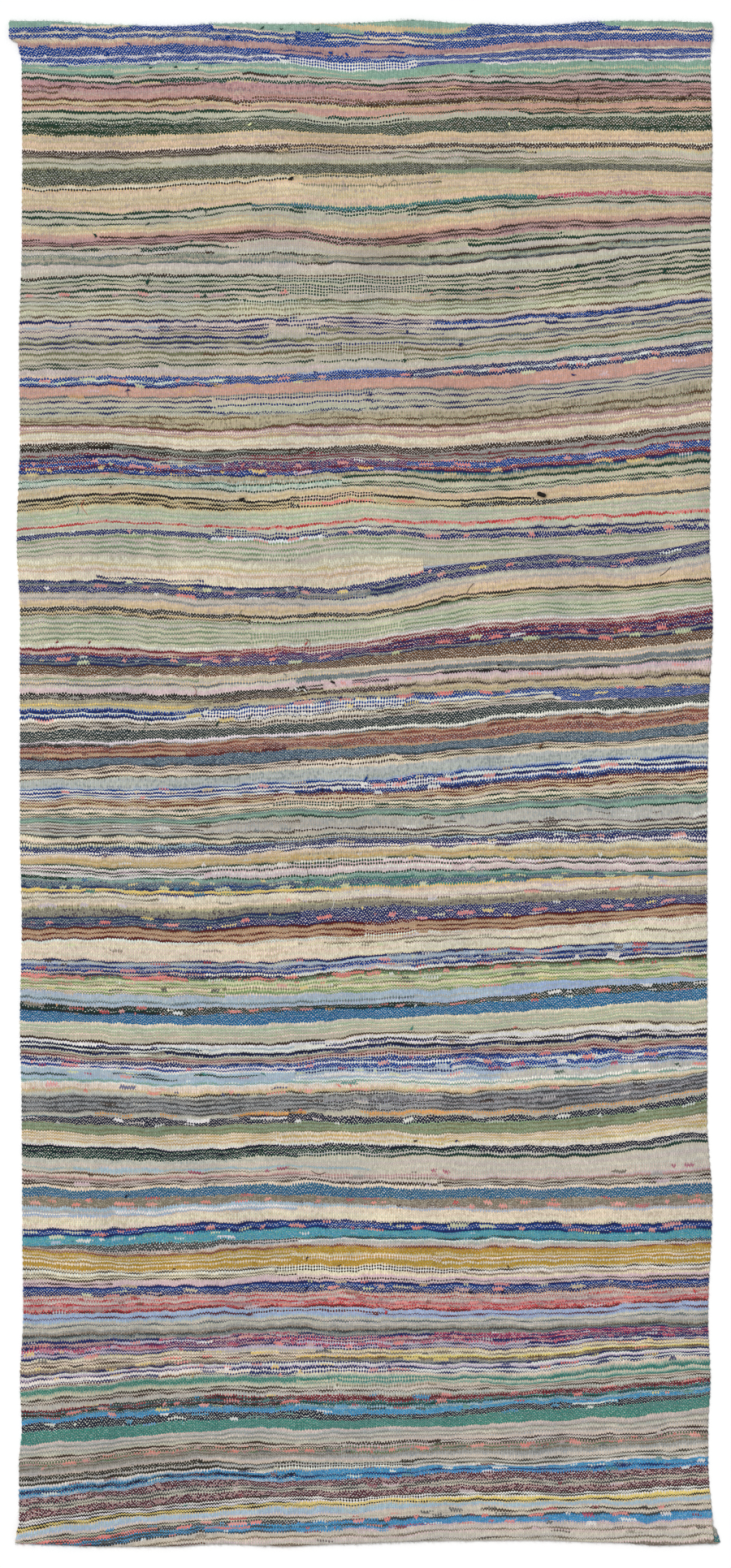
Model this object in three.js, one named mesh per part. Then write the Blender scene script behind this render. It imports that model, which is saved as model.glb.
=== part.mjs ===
// A striped flat-woven kilim runner, laid out on a floor with its face up.
// Units are millimetres. +X runs across the runner, +Y along it towards the end that was woven last,
// and +Z up. The origin is on the floor under the middle of the cloth.
//
// The runner is one piece of thick cloth, woven weft-faced on a cotton warp. Both ends are turned under once
// and stitched flat, so the cloth lies double there. It is made here as one sheet that goes from one raw end,
// round the fold, along the whole length, round the other fold, to the other raw end.
import * as THREE from "three";

// Driving dimensions
const WIDTH = 1500;
const LENGTH = 3311;
const THICKNESS = 3.5;
const HEM_DEPTH = 36;
const HEM_GAP = 0.6;

// How finely the sheet is divided
const COLUMNS = 24;
const BODY_ROWS = 44;
const FOLD_STEPS = 6;

// The selvedges wander as the weft drew in. Down is measured from the top fold, and left and right
// say how far each selvedge lies towards +X from its straight line.
const SELVEDGES = [
  { down: 40, left: -5, right: 0 },
  { down: 92, left: 4, right: 0 },
  { down: 270, left: 5, right: 4 },
  { down: 480, left: 4, right: 0 },
  { down: 695, left: -2, right: 4 },
  { down: 905, left: 0, right: 0 },
  { down: 1120, left: -7, right: -2 },
  { down: 1295, left: 0, right: 5 },
  { down: 1540, left: 0, right: -5 },
  { down: 1755, left: 0, right: -7 },
  { down: 1965, left: 4, right: -7 },
  { down: 2180, left: 0, right: -7 },
  { down: 2390, left: 4, right: -7 },
  { down: 2565, left: 5, right: 4 },
  { down: 2815, left: 7, right: -5 },
  { down: 2955, left: 0, right: 0 },
  { down: 3060, left: 4, right: -5 },
  { down: 3130, left: -2, right: -5 },
  { down: 3265, left: -2, right: 4 },
];

// The folds at the two ends wander too. Across is measured from the left selvedge, and top and bottom
// say how far each fold lies towards +Y from its straight line.
const FOLDS = [
  { across: 0, top: 3, bottom: 3 },
  { across: 60, top: 3, bottom: 0 },
  { across: 170, top: -4, bottom: -4 },
  { across: 325, top: -9, bottom: -4 },
  { across: 435, top: -2, bottom: 2 },
  { across: 575, top: -3, bottom: -4 },
  { across: 700, top: -2, bottom: 2 },
  { across: 855, top: 5, bottom: 7 },
  { across: 965, top: -2, bottom: 9 },
  { across: 1120, top: -7, bottom: 10 },
  { across: 1280, top: 3, bottom: 5 },
  { across: 1385, top: 3, bottom: -2 },
  { across: 1500, top: 0, bottom: 2 },
];

// The hems keep the width of the loom, so each corner stands out past the drawn-in selvedge as a small ear.
// Face is how far it does so in the upper layer, and under how far in the turned-under layer.
const EARS = {
  top: { left: { face: 19, under: 17 }, right: { face: 4, under: 3 } },
  bottom: { left: { face: 9, under: 7 }, right: { face: 8, under: 19 } },
};
const EAR_START = HEM_DEPTH - 2;
const EAR_END = HEM_DEPTH + 9;

// Soft swells where the cloth stands a little off the floor, as long shallow ridges between two points.
const SWELLS = [
  { x1: -500, y1: 1560, x2: -330, y2: 1390, half: 130, high: 4.5 },
  { x1: -330, y1: 1390, x2: -190, y2: 1230, half: 120, high: 5.5 },
  { x1: -190, y1: 1230, x2: -150, y2: 930, half: 130, high: 5 },
  { x1: 60, y1: 1420, x2: 150, y2: 1120, half: 140, high: 3.5 },
  { x1: 210, y1: 980, x2: 380, y2: 760, half: 140, high: 4.5 },
  { x1: -170, y1: 480, x2: -90, y2: 380, half: 150, high: 5 },
  { x1: 130, y1: 520, x2: 420, y2: 600, half: 130, high: 3.5 },
  { x1: -560, y1: 60, x2: -330, y2: 120, half: 150, high: 3 },
  { x1: 60, y1: 60, x2: 330, y2: -60, half: 160, high: 4 },
  { x1: -420, y1: -420, x2: -130, y2: -520, half: 150, high: 3.5 },
  { x1: 260, y1: -560, x2: 560, y2: -480, half: 150, high: 4 },
  { x1: -560, y1: -1010, x2: -260, y2: -960, half: 160, high: 3.5 },
  { x1: 20, y1: -960, x2: 120, y2: -1180, half: 150, high: 4 },
  { x1: -430, y1: -1340, x2: -120, y2: -1420, half: 130, high: 3.5 },
  { x1: 330, y1: -1250, x2: 600, y2: -1330, half: 140, high: 4 },
];

const HALF = THICKNESS / 2;
const HEM_LIFT = THICKNESS + HEM_GAP;
const FOLD_RADIUS = HEM_LIFT / 2;
const FOLD_CENTRE_IN = FOLD_RADIUS + HALF;

// Past the raw end of the hem the upper layer comes down to the floor over this stretch.
const RAMP_START = HEM_DEPTH + 4;
const RAMP_END = HEM_DEPTH + 44;

// Value of one named column of a table at a place, eased between the rows on either side.
function read(table, key, place, column) {
  const next = table.findIndex((row) => row[key] >= place);
  if (next === 0) return table[0][column];
  if (next < 0) return table[table.length - 1][column];
  const a = table[next - 1];
  const b = table[next];
  const share = THREE.MathUtils.smoothstep(place, a[key], b[key]);
  return THREE.MathUtils.lerp(a[column], b[column], share);
}

// How far an ear stands out at a distance in from its fold: whole over the hem, gone past its shoulder.
function earAt(ear, inFromFold) {
  return ear * (1 - THREE.MathUtils.smoothstep(inFromFold, EAR_START, EAR_END));
}

// Left or right edge of a layer at a distance down from the top fold.
function edgeAt(side, layer, down) {
  const straight = side === "left" ? -WIDTH / 2 : WIDTH / 2;
  const outward = side === "left" ? -1 : 1;
  const ears =
    earAt(EARS.top[side][layer], down) + earAt(EARS.bottom[side][layer], LENGTH - down);
  return straight + read(SELVEDGES, "down", down, side) + outward * ears;
}

// Height of the sheet's underside over the floor away from the hems.
function swellAt(x, y) {
  let height = 0;
  for (const s of SWELLS) {
    const along = new THREE.Vector2(s.x2 - s.x1, s.y2 - s.y1);
    const to = new THREE.Vector2(x - s.x1, y - s.y1);
    const share = THREE.MathUtils.clamp(to.dot(along) / along.lengthSq(), 0, 1);
    const off = to.distanceTo(along.multiplyScalar(share)) / s.half;
    if (off < 1) height = Math.max(height, s.high * (1 - off * off) ** 2);
  }
  return height;
}

// The stations of the sheet from the top raw end to the bottom raw end. Each says at which end and in which
// layer it lies, how far in from its fold, how far down its ramp and, on a fold, its angle.
function stations() {
  const list = [];
  const underIn = [HEM_DEPTH, HEM_DEPTH / 2];
  const faceIn = [HEM_DEPTH / 2, EAR_START, RAMP_START, EAR_END, RAMP_END];
  for (const end of ["top", "bottom"]) {
    const half = underIn.map((inward) => ({ end, layer: "under", inward, ramp: 0, angle: null }));
    for (let i = 0; i <= FOLD_STEPS; i++)
      half.push({ end, layer: "fold", inward: 0, ramp: 0, angle: Math.PI * (i / FOLD_STEPS - 0.5) });
    for (const inward of faceIn) {
      const ramp = THREE.MathUtils.smoothstep(inward, RAMP_START, RAMP_END);
      half.push({ end, layer: "face", inward, ramp, angle: null });
    }
    list.push(half);
  }
  const body = [];
  for (let i = 1; i < BODY_ROWS; i++)
    body.push({ end: "body", layer: "face", share: i / BODY_ROWS, ramp: 1, angle: null });
  return [...list[0], ...body, ...list[1].reverse()];
}

// Middle point of the sheet at a station and at a share of the way across, from the left to the right.
function middleAt(station, share) {
  const across = share * WIDTH;
  const topFold = LENGTH / 2 + read(FOLDS, "across", across, "top");
  const bottomFold = -LENGTH / 2 + read(FOLDS, "across", across, "bottom");
  let y;
  let z = 0;
  if (station.end === "body") {
    y = THREE.MathUtils.lerp(topFold - RAMP_END, bottomFold + RAMP_END, station.share);
  } else {
    const inward = station.end === "top" ? -1 : 1;
    const fold = station.end === "top" ? topFold : bottomFold;
    const centre = fold + inward * FOLD_CENTRE_IN;
    if (station.angle === null) {
      y = fold + inward * Math.max(station.inward, FOLD_CENTRE_IN);
    } else {
      y = centre - inward * FOLD_RADIUS * Math.cos(station.angle);
      z = HALF + FOLD_RADIUS * (1 + Math.sin(station.angle));
    }
  }
  const down = LENGTH / 2 - y;
  const layer = station.layer === "under" ? "under" : "face";
  let left = edgeAt("left", layer, down);
  let right = edgeAt("right", layer, down);
  if (station.layer === "fold") {
    const turned = station.angle / Math.PI + 0.5;
    left = THREE.MathUtils.lerp(edgeAt("left", "under", down), left, turned);
    right = THREE.MathUtils.lerp(edgeAt("right", "under", down), right, turned);
  }
  const x = THREE.MathUtils.lerp(left, right, share);
  if (station.layer === "under") z = HALF;
  if (station.layer === "face") z = HALF + THREE.MathUtils.lerp(HEM_LIFT, swellAt(x, y), station.ramp);
  return new THREE.Vector3(x, y, z);
}

// The closed solid of the sheet: its middle surface moved half a thickness to either side, with a rim all round.
function sheetGeometry() {
  const rows = stations();
  const middle = rows.map((station) => {
    const line = [];
    for (let j = 0; j <= COLUMNS; j++) line.push(middleAt(station, j / COLUMNS));
    return line;
  });
  const positions = [];
  const skins = [1, -1].map((side) =>
    middle.map((line, i) =>
      line.map((point, j) => {
        const before = middle[Math.max(i - 1, 0)][j];
        const after = middle[Math.min(i + 1, rows.length - 1)][j];
        const run = new THREE.Vector3().subVectors(after, before);
        const normal = new THREE.Vector3(0, run.z, -run.y).normalize();
        if (rows[i].angle !== null) {
          const outward = rows[i].end === "top" ? 1 : -1;
          normal.set(0, outward * Math.cos(rows[i].angle), Math.sin(rows[i].angle));
        }
        if (rows[i].layer === "under") normal.set(0, 0, -1);
        positions.push(...point.clone().addScaledVector(normal, side * HALF).toArray());
        return positions.length / 3 - 1;
      }),
    ),
  );
  const [outer, inner] = skins;
  const faces = [];
  const quad = (a, b, c, d) => faces.push(a, b, c, a, c, d);
  const last = rows.length - 1;
  for (let i = 0; i < last; i++) {
    for (let j = 0; j < COLUMNS; j++) {
      quad(outer[i][j], outer[i + 1][j], outer[i + 1][j + 1], outer[i][j + 1]);
      quad(inner[i][j], inner[i][j + 1], inner[i + 1][j + 1], inner[i + 1][j]);
    }
    quad(outer[i][0], inner[i][0], inner[i + 1][0], outer[i + 1][0]);
    quad(outer[i][COLUMNS], outer[i + 1][COLUMNS], inner[i + 1][COLUMNS], inner[i][COLUMNS]);
  }
  for (let j = 0; j < COLUMNS; j++) {
    quad(outer[0][j], outer[0][j + 1], inner[0][j + 1], inner[0][j]);
    quad(outer[last][j], inner[last][j], inner[last][j + 1], outer[last][j + 1]);
  }
  const geometry = new THREE.BufferGeometry();
  geometry.setAttribute("position", new THREE.Float32BufferAttribute(positions, 3));
  geometry.setIndex(faces);
  geometry.computeVertexNormals();
  return geometry;
}

// Moves a geometry so that its box is centred over the origin and stands on the floor.
function seat(geometry) {
  geometry.computeBoundingBox();
  const box = geometry.boundingBox;
  const middle = box.getCenter(new THREE.Vector3());
  return geometry.translate(-middle.x, -middle.y, -box.min.z);
}

const cloth = new THREE.Mesh(
  seat(sheetGeometry()),
  new THREE.MeshStandardMaterial({ color: 0xb9b3a2, roughness: 0.95, metalness: 0 }),
);
cloth.name = "kilim_cloth";

const runner = new THREE.Group();
runner.add(cloth);

export default runner;
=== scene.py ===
import functools
import math
import random

import bpy
import numpy as np
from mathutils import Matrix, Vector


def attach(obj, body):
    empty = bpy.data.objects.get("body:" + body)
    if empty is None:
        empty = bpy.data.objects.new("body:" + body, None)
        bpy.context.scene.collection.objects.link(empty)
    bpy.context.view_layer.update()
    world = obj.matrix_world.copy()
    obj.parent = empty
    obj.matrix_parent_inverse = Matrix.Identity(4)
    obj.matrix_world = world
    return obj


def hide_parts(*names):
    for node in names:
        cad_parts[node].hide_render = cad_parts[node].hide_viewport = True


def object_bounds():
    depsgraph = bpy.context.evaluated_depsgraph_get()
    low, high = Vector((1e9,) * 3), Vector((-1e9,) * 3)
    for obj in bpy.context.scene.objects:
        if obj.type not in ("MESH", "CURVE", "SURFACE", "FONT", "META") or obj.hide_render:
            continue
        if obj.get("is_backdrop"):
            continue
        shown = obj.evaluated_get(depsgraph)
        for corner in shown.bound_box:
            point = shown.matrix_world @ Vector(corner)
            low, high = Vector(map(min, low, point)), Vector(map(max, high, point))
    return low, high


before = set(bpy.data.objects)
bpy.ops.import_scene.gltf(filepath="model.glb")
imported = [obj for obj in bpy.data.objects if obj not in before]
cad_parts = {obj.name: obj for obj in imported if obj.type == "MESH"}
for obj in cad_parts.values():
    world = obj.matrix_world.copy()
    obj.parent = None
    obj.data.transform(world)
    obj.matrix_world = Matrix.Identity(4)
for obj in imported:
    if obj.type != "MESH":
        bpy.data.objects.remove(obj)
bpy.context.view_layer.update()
bpy.ops.object.select_all(action="DESELECT")

# The cloth. One weft-faced sheet of thick reclaimed yarns beaten down over a cotton warp, with each end
# turned under once and stitched. Its rows of mesh are its picks, so a stripe is a run of rows, and each
# row lies where its pick lies in the real cloth, which two weavers wove side by side and never quite level.
MM = 0.001
WIDTH = 1500 * MM
LENGTH = 3311 * MM
THICKNESS = 3.5 * MM
HEM_DEPTH = 36 * MM
HEM_GAP = 0.6 * MM
HEM_LIFT = THICKNESS + HEM_GAP
HALF = THICKNESS / 2
FOLD_RADIUS = HEM_LIFT / 2
FOLD_CENTRE_IN = FOLD_RADIUS + HALF
FOLD_TURN = math.pi * FOLD_RADIUS
TURNED_UNDER = FOLD_TURN + HEM_DEPTH - FOLD_CENTRE_IN
EAR_START = HEM_DEPTH - 2 * MM
EAR_END = HEM_DEPTH + 9 * MM
EAR_WIDE = 0.12
EAR_NARROWS = {"top": 0, "bottom": 0.75}
RAMP_START = HEM_DEPTH + 4 * MM
RAMP_END = HEM_DEPTH + 44 * MM
WARPS = 514
PICK_PITCH = 3.27 * MM
FIRST_PICK = -13
LAST_PICK = 1045
FOLD_PICKS = [(-5, 11), (1008, 1038)]
FACE_COLUMNS = 56
RIM_IN = 2.5 * MM
SCALLOP = 0.5 * MM
SCALLOP_LUCK = 0.4 * MM
RIM_STANDS_OUT = 0.7 * MM
SELVEDGE_THINNING = 0.6
SWAY = 0.55 * MM

# Places of the selvedges, in millimetres: how far each lies towards +X from its straight line.
SELVEDGES = [
    {"down": 40, "left": -5, "right": 0},
    {"down": 92, "left": 4, "right": 0},
    {"down": 270, "left": 5, "right": 4},
    {"down": 480, "left": 4, "right": 0},
    {"down": 695, "left": -2, "right": 4},
    {"down": 905, "left": 0, "right": 0},
    {"down": 1120, "left": -7, "right": -2},
    {"down": 1295, "left": 0, "right": 5},
    {"down": 1540, "left": 0, "right": -5},
    {"down": 1755, "left": 0, "right": -7},
    {"down": 1965, "left": 4, "right": -7},
    {"down": 2180, "left": 0, "right": -7},
    {"down": 2390, "left": 4, "right": -7},
    {"down": 2565, "left": 5, "right": 4},
    {"down": 2815, "left": 7, "right": -5},
    {"down": 2955, "left": 0, "right": 0},
    {"down": 3060, "left": 4, "right": -5},
    {"down": 3130, "left": -2, "right": -5},
    {"down": 3265, "left": -2, "right": 4},
]

# Places of the folds, in millimetres: how far each lies towards +Y from its straight line.
FOLDS = [
    {"across": 0, "top": 3, "bottom": 3},
    {"across": 60, "top": 3, "bottom": 0},
    {"across": 170, "top": -4, "bottom": -4},
    {"across": 325, "top": -9, "bottom": -4},
    {"across": 435, "top": -2, "bottom": 2},
    {"across": 575, "top": -3, "bottom": -4},
    {"across": 700, "top": -2, "bottom": 2},
    {"across": 855, "top": 5, "bottom": 7},
    {"across": 965, "top": -2, "bottom": 9},
    {"across": 1120, "top": -7, "bottom": 10},
    {"across": 1280, "top": 3, "bottom": 5},
    {"across": 1385, "top": 3, "bottom": -2},
    {"across": 1500, "top": 0, "bottom": 2},
]

# The hem keeps the loom's width, so each corner stands out past the drawn-in selvedge, in millimetres.
EARS = {
    "top": {"left": {"face": 19, "under": 17}, "right": {"face": 4, "under": 3}},
    "bottom": {"left": {"face": 9, "under": 7}, "right": {"face": 5, "under": 20}},
}

# Long shallow ridges where the cloth stands a little off the floor, in millimetres from the middle.
SWELLS = [
    {"x1": -500, "y1": 1560, "x2": -330, "y2": 1390, "half": 130, "high": 4.5},
    {"x1": -330, "y1": 1390, "x2": -190, "y2": 1230, "half": 120, "high": 5.5},
    {"x1": -190, "y1": 1230, "x2": -150, "y2": 930, "half": 130, "high": 5},
    {"x1": 60, "y1": 1420, "x2": 150, "y2": 1120, "half": 140, "high": 3.5},
    {"x1": 210, "y1": 980, "x2": 380, "y2": 760, "half": 140, "high": 4.5},
    {"x1": -170, "y1": 480, "x2": -90, "y2": 380, "half": 150, "high": 5},
    {"x1": 130, "y1": 520, "x2": 420, "y2": 600, "half": 130, "high": 3.5},
    {"x1": -560, "y1": 60, "x2": -330, "y2": 120, "half": 150, "high": 3},
    {"x1": 60, "y1": 60, "x2": 330, "y2": -60, "half": 160, "high": 4},
    {"x1": -420, "y1": -420, "x2": -130, "y2": -520, "half": 150, "high": 3.5},
    {"x1": 260, "y1": -560, "x2": 560, "y2": -480, "half": 150, "high": 4},
    {"x1": -560, "y1": -1010, "x2": -260, "y2": -960, "half": 160, "high": 3.5},
    {"x1": 20, "y1": -960, "x2": 120, "y2": -1180, "half": 150, "high": 4},
    {"x1": -430, "y1": -1340, "x2": -120, "y2": -1420, "half": 130, "high": 3.5},
    {"x1": 330, "y1": -1250, "x2": 600, "y2": -1330, "half": 140, "high": 4},
]

# Where some picks run, as read: each one's number, what shows there, and how far down from the top
# fold it lies at nine places across the runner, all in millimetres.
LINE_PLACES = (21, 187, 375, 562, 750, 937, 1125, 1312, 1479)
PICK_LINES = [
    (16, "top of the rose line", (37, 38, 35, 47, 54, 59, 44, 41, 43)),
    (32, "top of the sea green", (92, 95, 87, 91, 107, 92, 86, 83, 81)),
    (43, "fir line", (121, 128, 122, 125, 133, 127, 129, 125, 126)),
    (69, "top of the fir tweed", (212, 216, 214, 212, 224, 207, 203, 203, 200)),
    (78, "top of the peach", (243, 246, 240, 233, 243, 237, 233, 233, 237)),
    (89, "brown zigzag", (284, 286, 280, 269, 271, 268, 267, 266, 268)),
    (100, "top of the olive tweed", (315, 316, 310, 305, 305, 304, 305, 305, 310)),
    (110, "foot of the olive tweed", (353, 352, 342, 331, 332, 325, 325, 322, 327)),
    (127, "teal, fir and crimson line", (410, 416, 406, 392, 399, 382, 371, 364, 366)),
    (146, "dark line in the mauve", (472, 469, 461, 453, 471, 454, 435, 430, 423)),
    (164, "last grey line", (523, 522, 519, 516, 523, 519, 503, 488, 477)),
    (173, "first fir thread", (556, 550, 549, 550, 553, 549, 540, 511, 494)),
    (204, "first navy thread", (654, 650, 652, 648, 645, 650, 636, 622, 600)),
    (238, "first line of the navy pair", (775, 772, 772, 769, 757, 755, 739, 720, 699)),
    (251, "foot of the salmon", (814, 811, 812, 805, 795, 793, 786, 769, 745)),
    (264, "top of the khaki", (857, 855, 853, 852, 844, 843, 829, 802, 779)),
    (273, "foot of the khaki", (876, 874, 887, 877, 872, 875, 857, 841, 823)),
    (288, "umber zigzag", (920, 915, 930, 927, 926, 927, 915, 898, 875)),
    (306, "foot of the navy and claret", (982, 980, 986, 986, 973, 983, 973, 957, 938)),
    (316, "last fir thread", (1013, 1001, 1015, 1017, 1005, 1019, 1011, 993, 979)),
    (324, "black zigzag", (1044, 1026, 1038, 1043, 1029, 1040, 1035, 1025, 1013)),
    (329, "foot of the black pair", (1064, 1048, 1060, 1061, 1047, 1056, 1050, 1034, 1021)),
    (339, "red line", (1101, 1086, 1093, 1098, 1080, 1088, 1076, 1069, 1059)),
    (349, "foot of the navy lines", (1124, 1110, 1118, 1129, 1112, 1121, 1117, 1110, 1102)),
    (362, "top of the cream wedge", (1166, 1160, 1170, 1178, 1160, 1169, 1157, 1150, 1126)),
    (374, "top of the navy and grey", (1211, 1212, 1221, 1226, 1220, 1179, 1162, 1157, 1131)),
    (384, "foot of the navy and grey", (1243, 1243, 1253, 1256, 1254, 1215, 1190, 1189, 1166)),
    (395, "moss black zigzag", (1278, 1275, 1289, 1291, 1286, 1249, 1229, 1226, 1209)),
    (417, "first claret line", (1361, 1361, 1369, 1362, 1348, 1319, 1301, 1296, 1273)),
    (429, "top of the brown", (1398, 1398, 1402, 1398, 1381, 1361, 1344, 1338, 1322)),
    (435, "foot of the brown", (1417, 1418, 1420, 1412, 1398, 1382, 1372, 1360, 1343)),
    (448, "black line", (1465, 1465, 1467, 1453, 1430, 1415, 1407, 1399, 1389)),
    (459, "top of the navy pair", (1491, 1491, 1496, 1480, 1467, 1457, 1449, 1447, 1440)),
    (470, "top of the charcoal", (1540, 1536, 1536, 1526, 1512, 1496, 1477, 1472, 1460)),
    (476, "foot of the charcoal", (1560, 1558, 1553, 1543, 1530, 1517, 1494, 1487, 1473)),
    (489, "top of the denim", (1600, 1597, 1593, 1578, 1573, 1560, 1541, 1536, 1519)),
    (496, "foot of the denim", (1624, 1614, 1611, 1605, 1591, 1579, 1563, 1558, 1544)),
    (511, "top of the navy", (1666, 1666, 1663, 1650, 1644, 1628, 1610, 1598, 1592)),
    (521, "first oxblood thread", (1691, 1688, 1690, 1677, 1677, 1666, 1649, 1638, 1628)),
    (532, "top of the grey teal", (1726, 1725, 1727, 1708, 1706, 1702, 1687, 1677, 1668)),
    (537, "foot of the grey teal", (1739, 1738, 1739, 1722, 1722, 1717, 1703, 1701, 1692)),
    (550, "charcoal zigzag", (1767, 1767, 1770, 1773, 1765, 1761, 1749, 1744, 1742)),
    (557, "navy line", (1798, 1800, 1799, 1789, 1777, 1778, 1767, 1763, 1762)),
    (570, "bottle green line", (1831, 1839, 1838, 1829, 1817, 1817, 1816, 1817, 1815)),
    (578, "foot of the pale pink", (1856, 1862, 1863, 1860, 1848, 1844, 1841, 1847, 1845)),
    (586, "yellow flecks", (1884, 1885, 1892, 1886, 1882, 1876, 1866, 1859, 1856)),
    (601, "top of the navy", (1944, 1941, 1947, 1933, 1922, 1918, 1911, 1902, 1895)),
    (609, "top of the tan and oxblood", (1965, 1964, 1970, 1960, 1953, 1947, 1937, 1927, 1915)),
    (617, "foot of the tan and oxblood", (1991, 1990, 1998, 1992, 1981, 1972, 1964, 1948, 1938)),
    (632, "top of the navy lines", (2040, 2040, 2043, 2041, 2031, 2016, 2010, 2003, 1994)),
    (655, "top of the sky blue", (2101, 2112, 2114, 2115, 2105, 2099, 2085, 2078, 2077)),
    (662, "top of the dark medley", (2128, 2139, 2141, 2141, 2132, 2128, 2107, 2091, 2083)),
    (667, "top of the steel blue", (2147, 2157, 2158, 2150, 2143, 2137, 2122, 2108, 2101)),
    (674, "foot of the steel blue", (2170, 2174, 2178, 2176, 2165, 2157, 2147, 2132, 2124)),
    (687, "black brown zigzag", (2206, 2218, 2220, 2220, 2200, 2197, 2187, 2175, 2173)),
    (701, "top of the navy", (2246, 2257, 2264, 2260, 2248, 2241, 2238, 2228, 2224)),
    (717, "turquoise line", (2297, 2303, 2310, 2307, 2301, 2308, 2300, 2288, 2274)),
    (725, "top of the grey tweed", (2331, 2332, 2339, 2333, 2327, 2331, 2321, 2307, 2288)),
    (738, "orange line", (2374, 2373, 2380, 2371, 2368, 2370, 2366, 2350, 2323)),
    (745, "foot of the ink line", (2391, 2396, 2401, 2391, 2397, 2394, 2389, 2376, 2345)),
    (752, "top of the tan and cream", (2410, 2417, 2420, 2411, 2413, 2415, 2413, 2396, 2371)),
    (761, "top of the ink and bottle", (2436, 2444, 2449, 2438, 2439, 2440, 2440, 2431, 2412)),
    (769, "foot of the ink and bottle", (2460, 2470, 2470, 2466, 2467, 2468, 2473, 2459, 2440)),
    (790, "top of the steel blue", (2532, 2539, 2532, 2524, 2531, 2536, 2534, 2532, 2522)),
    (796, "foot of the steel blue", (2553, 2556, 2551, 2548, 2555, 2556, 2554, 2553, 2545)),
    (802, "foot of the taupe", (2574, 2576, 2570, 2563, 2570, 2578, 2577, 2575, 2569)),
    (813, "top of the navy", (2620, 2621, 2610, 2601, 2605, 2606, 2608, 2608, 2602)),
    (819, "top of the turquoise", (2638, 2640, 2629, 2622, 2625, 2629, 2628, 2632, 2626)),
    (824, "top of the charcoal zigzag", (2658, 2658, 2648, 2644, 2639, 2641, 2641, 2647, 2645)),
    (830, "top of the mustard", (2664, 2679, 2674, 2661, 2660, 2665, 2664, 2664, 2655)),
    (842, "foot of the mustard", (2704, 2714, 2710, 2703, 2700, 2707, 2703, 2698, 2694)),
    (853, "top of the navy", (2749, 2746, 2744, 2736, 2735, 2740, 2738, 2732, 2729)),
    (860, "foot of the navy", (2770, 2767, 2767, 2759, 2758, 2763, 2760, 2752, 2750)),
    (871, "top of the pale blue", (2806, 2805, 2798, 2791, 2794, 2799, 2799, 2787, 2777)),
    (888, "top of the navy and pink", (2867, 2862, 2857, 2848, 2852, 2847, 2847, 2837, 2839)),
    (913, "last navy zigzag", (2968, 2952, 2937, 2936, 2933, 2935, 2932, 2908, 2896)),
    (920, "foot of the sea green", (2987, 2972, 2960, 2957, 2958, 2955, 2957, 2937, 2928)),
    (928, "top of the medley", (3018, 3004, 2988, 2987, 2986, 2983, 2975, 2962, 2948)),
    (938, "top of the ink", (3047, 3033, 3022, 3019, 3023, 3018, 3002, 2993, 2979)),
    (943, "top of the jade", (3064, 3053, 3037, 3036, 3038, 3031, 3013, 3006, 2986)),
    (950, "foot of the jade", (3092, 3080, 3062, 3056, 3055, 3052, 3039, 3032, 3012)),
    (960, "brown line", (3122, 3108, 3090, 3090, 3086, 3079, 3073, 3066, 3053)),
    (974, "dark zigzag", (3168, 3152, 3132, 3132, 3131, 3124, 3124, 3112, 3102)),
    (979, "top of the bright blue", (3186, 3167, 3150, 3150, 3143, 3137, 3137, 3124, 3117)),
    (985, "top of the maroon tweed", (3207, 3191, 3167, 3170, 3166, 3152, 3150, 3147, 3137)),
    (997, "foot of the maroon tweed", (3250, 3233, 3214, 3203, 3205, 3193, 3194, 3188, 3177)),
    (1005, "top of the pale blue", (3281, 3258, 3241, 3230, 3223, 3218, 3215, 3214, 3203)),
    (1008, "foot of the pale blue", (3293, 3270, 3251, 3243, 3238, 3224, 3223, 3222, 3213)),
    (1013, "coral line", (3308, 3285, 3265, 3258, 3252, 3245, 3240, 3237, 3230)),
    (1021, "top of the last beige", (3335, 3316, 3290, 3283, 3282, 3268, 3265, 3266, 3260)),
]

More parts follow.
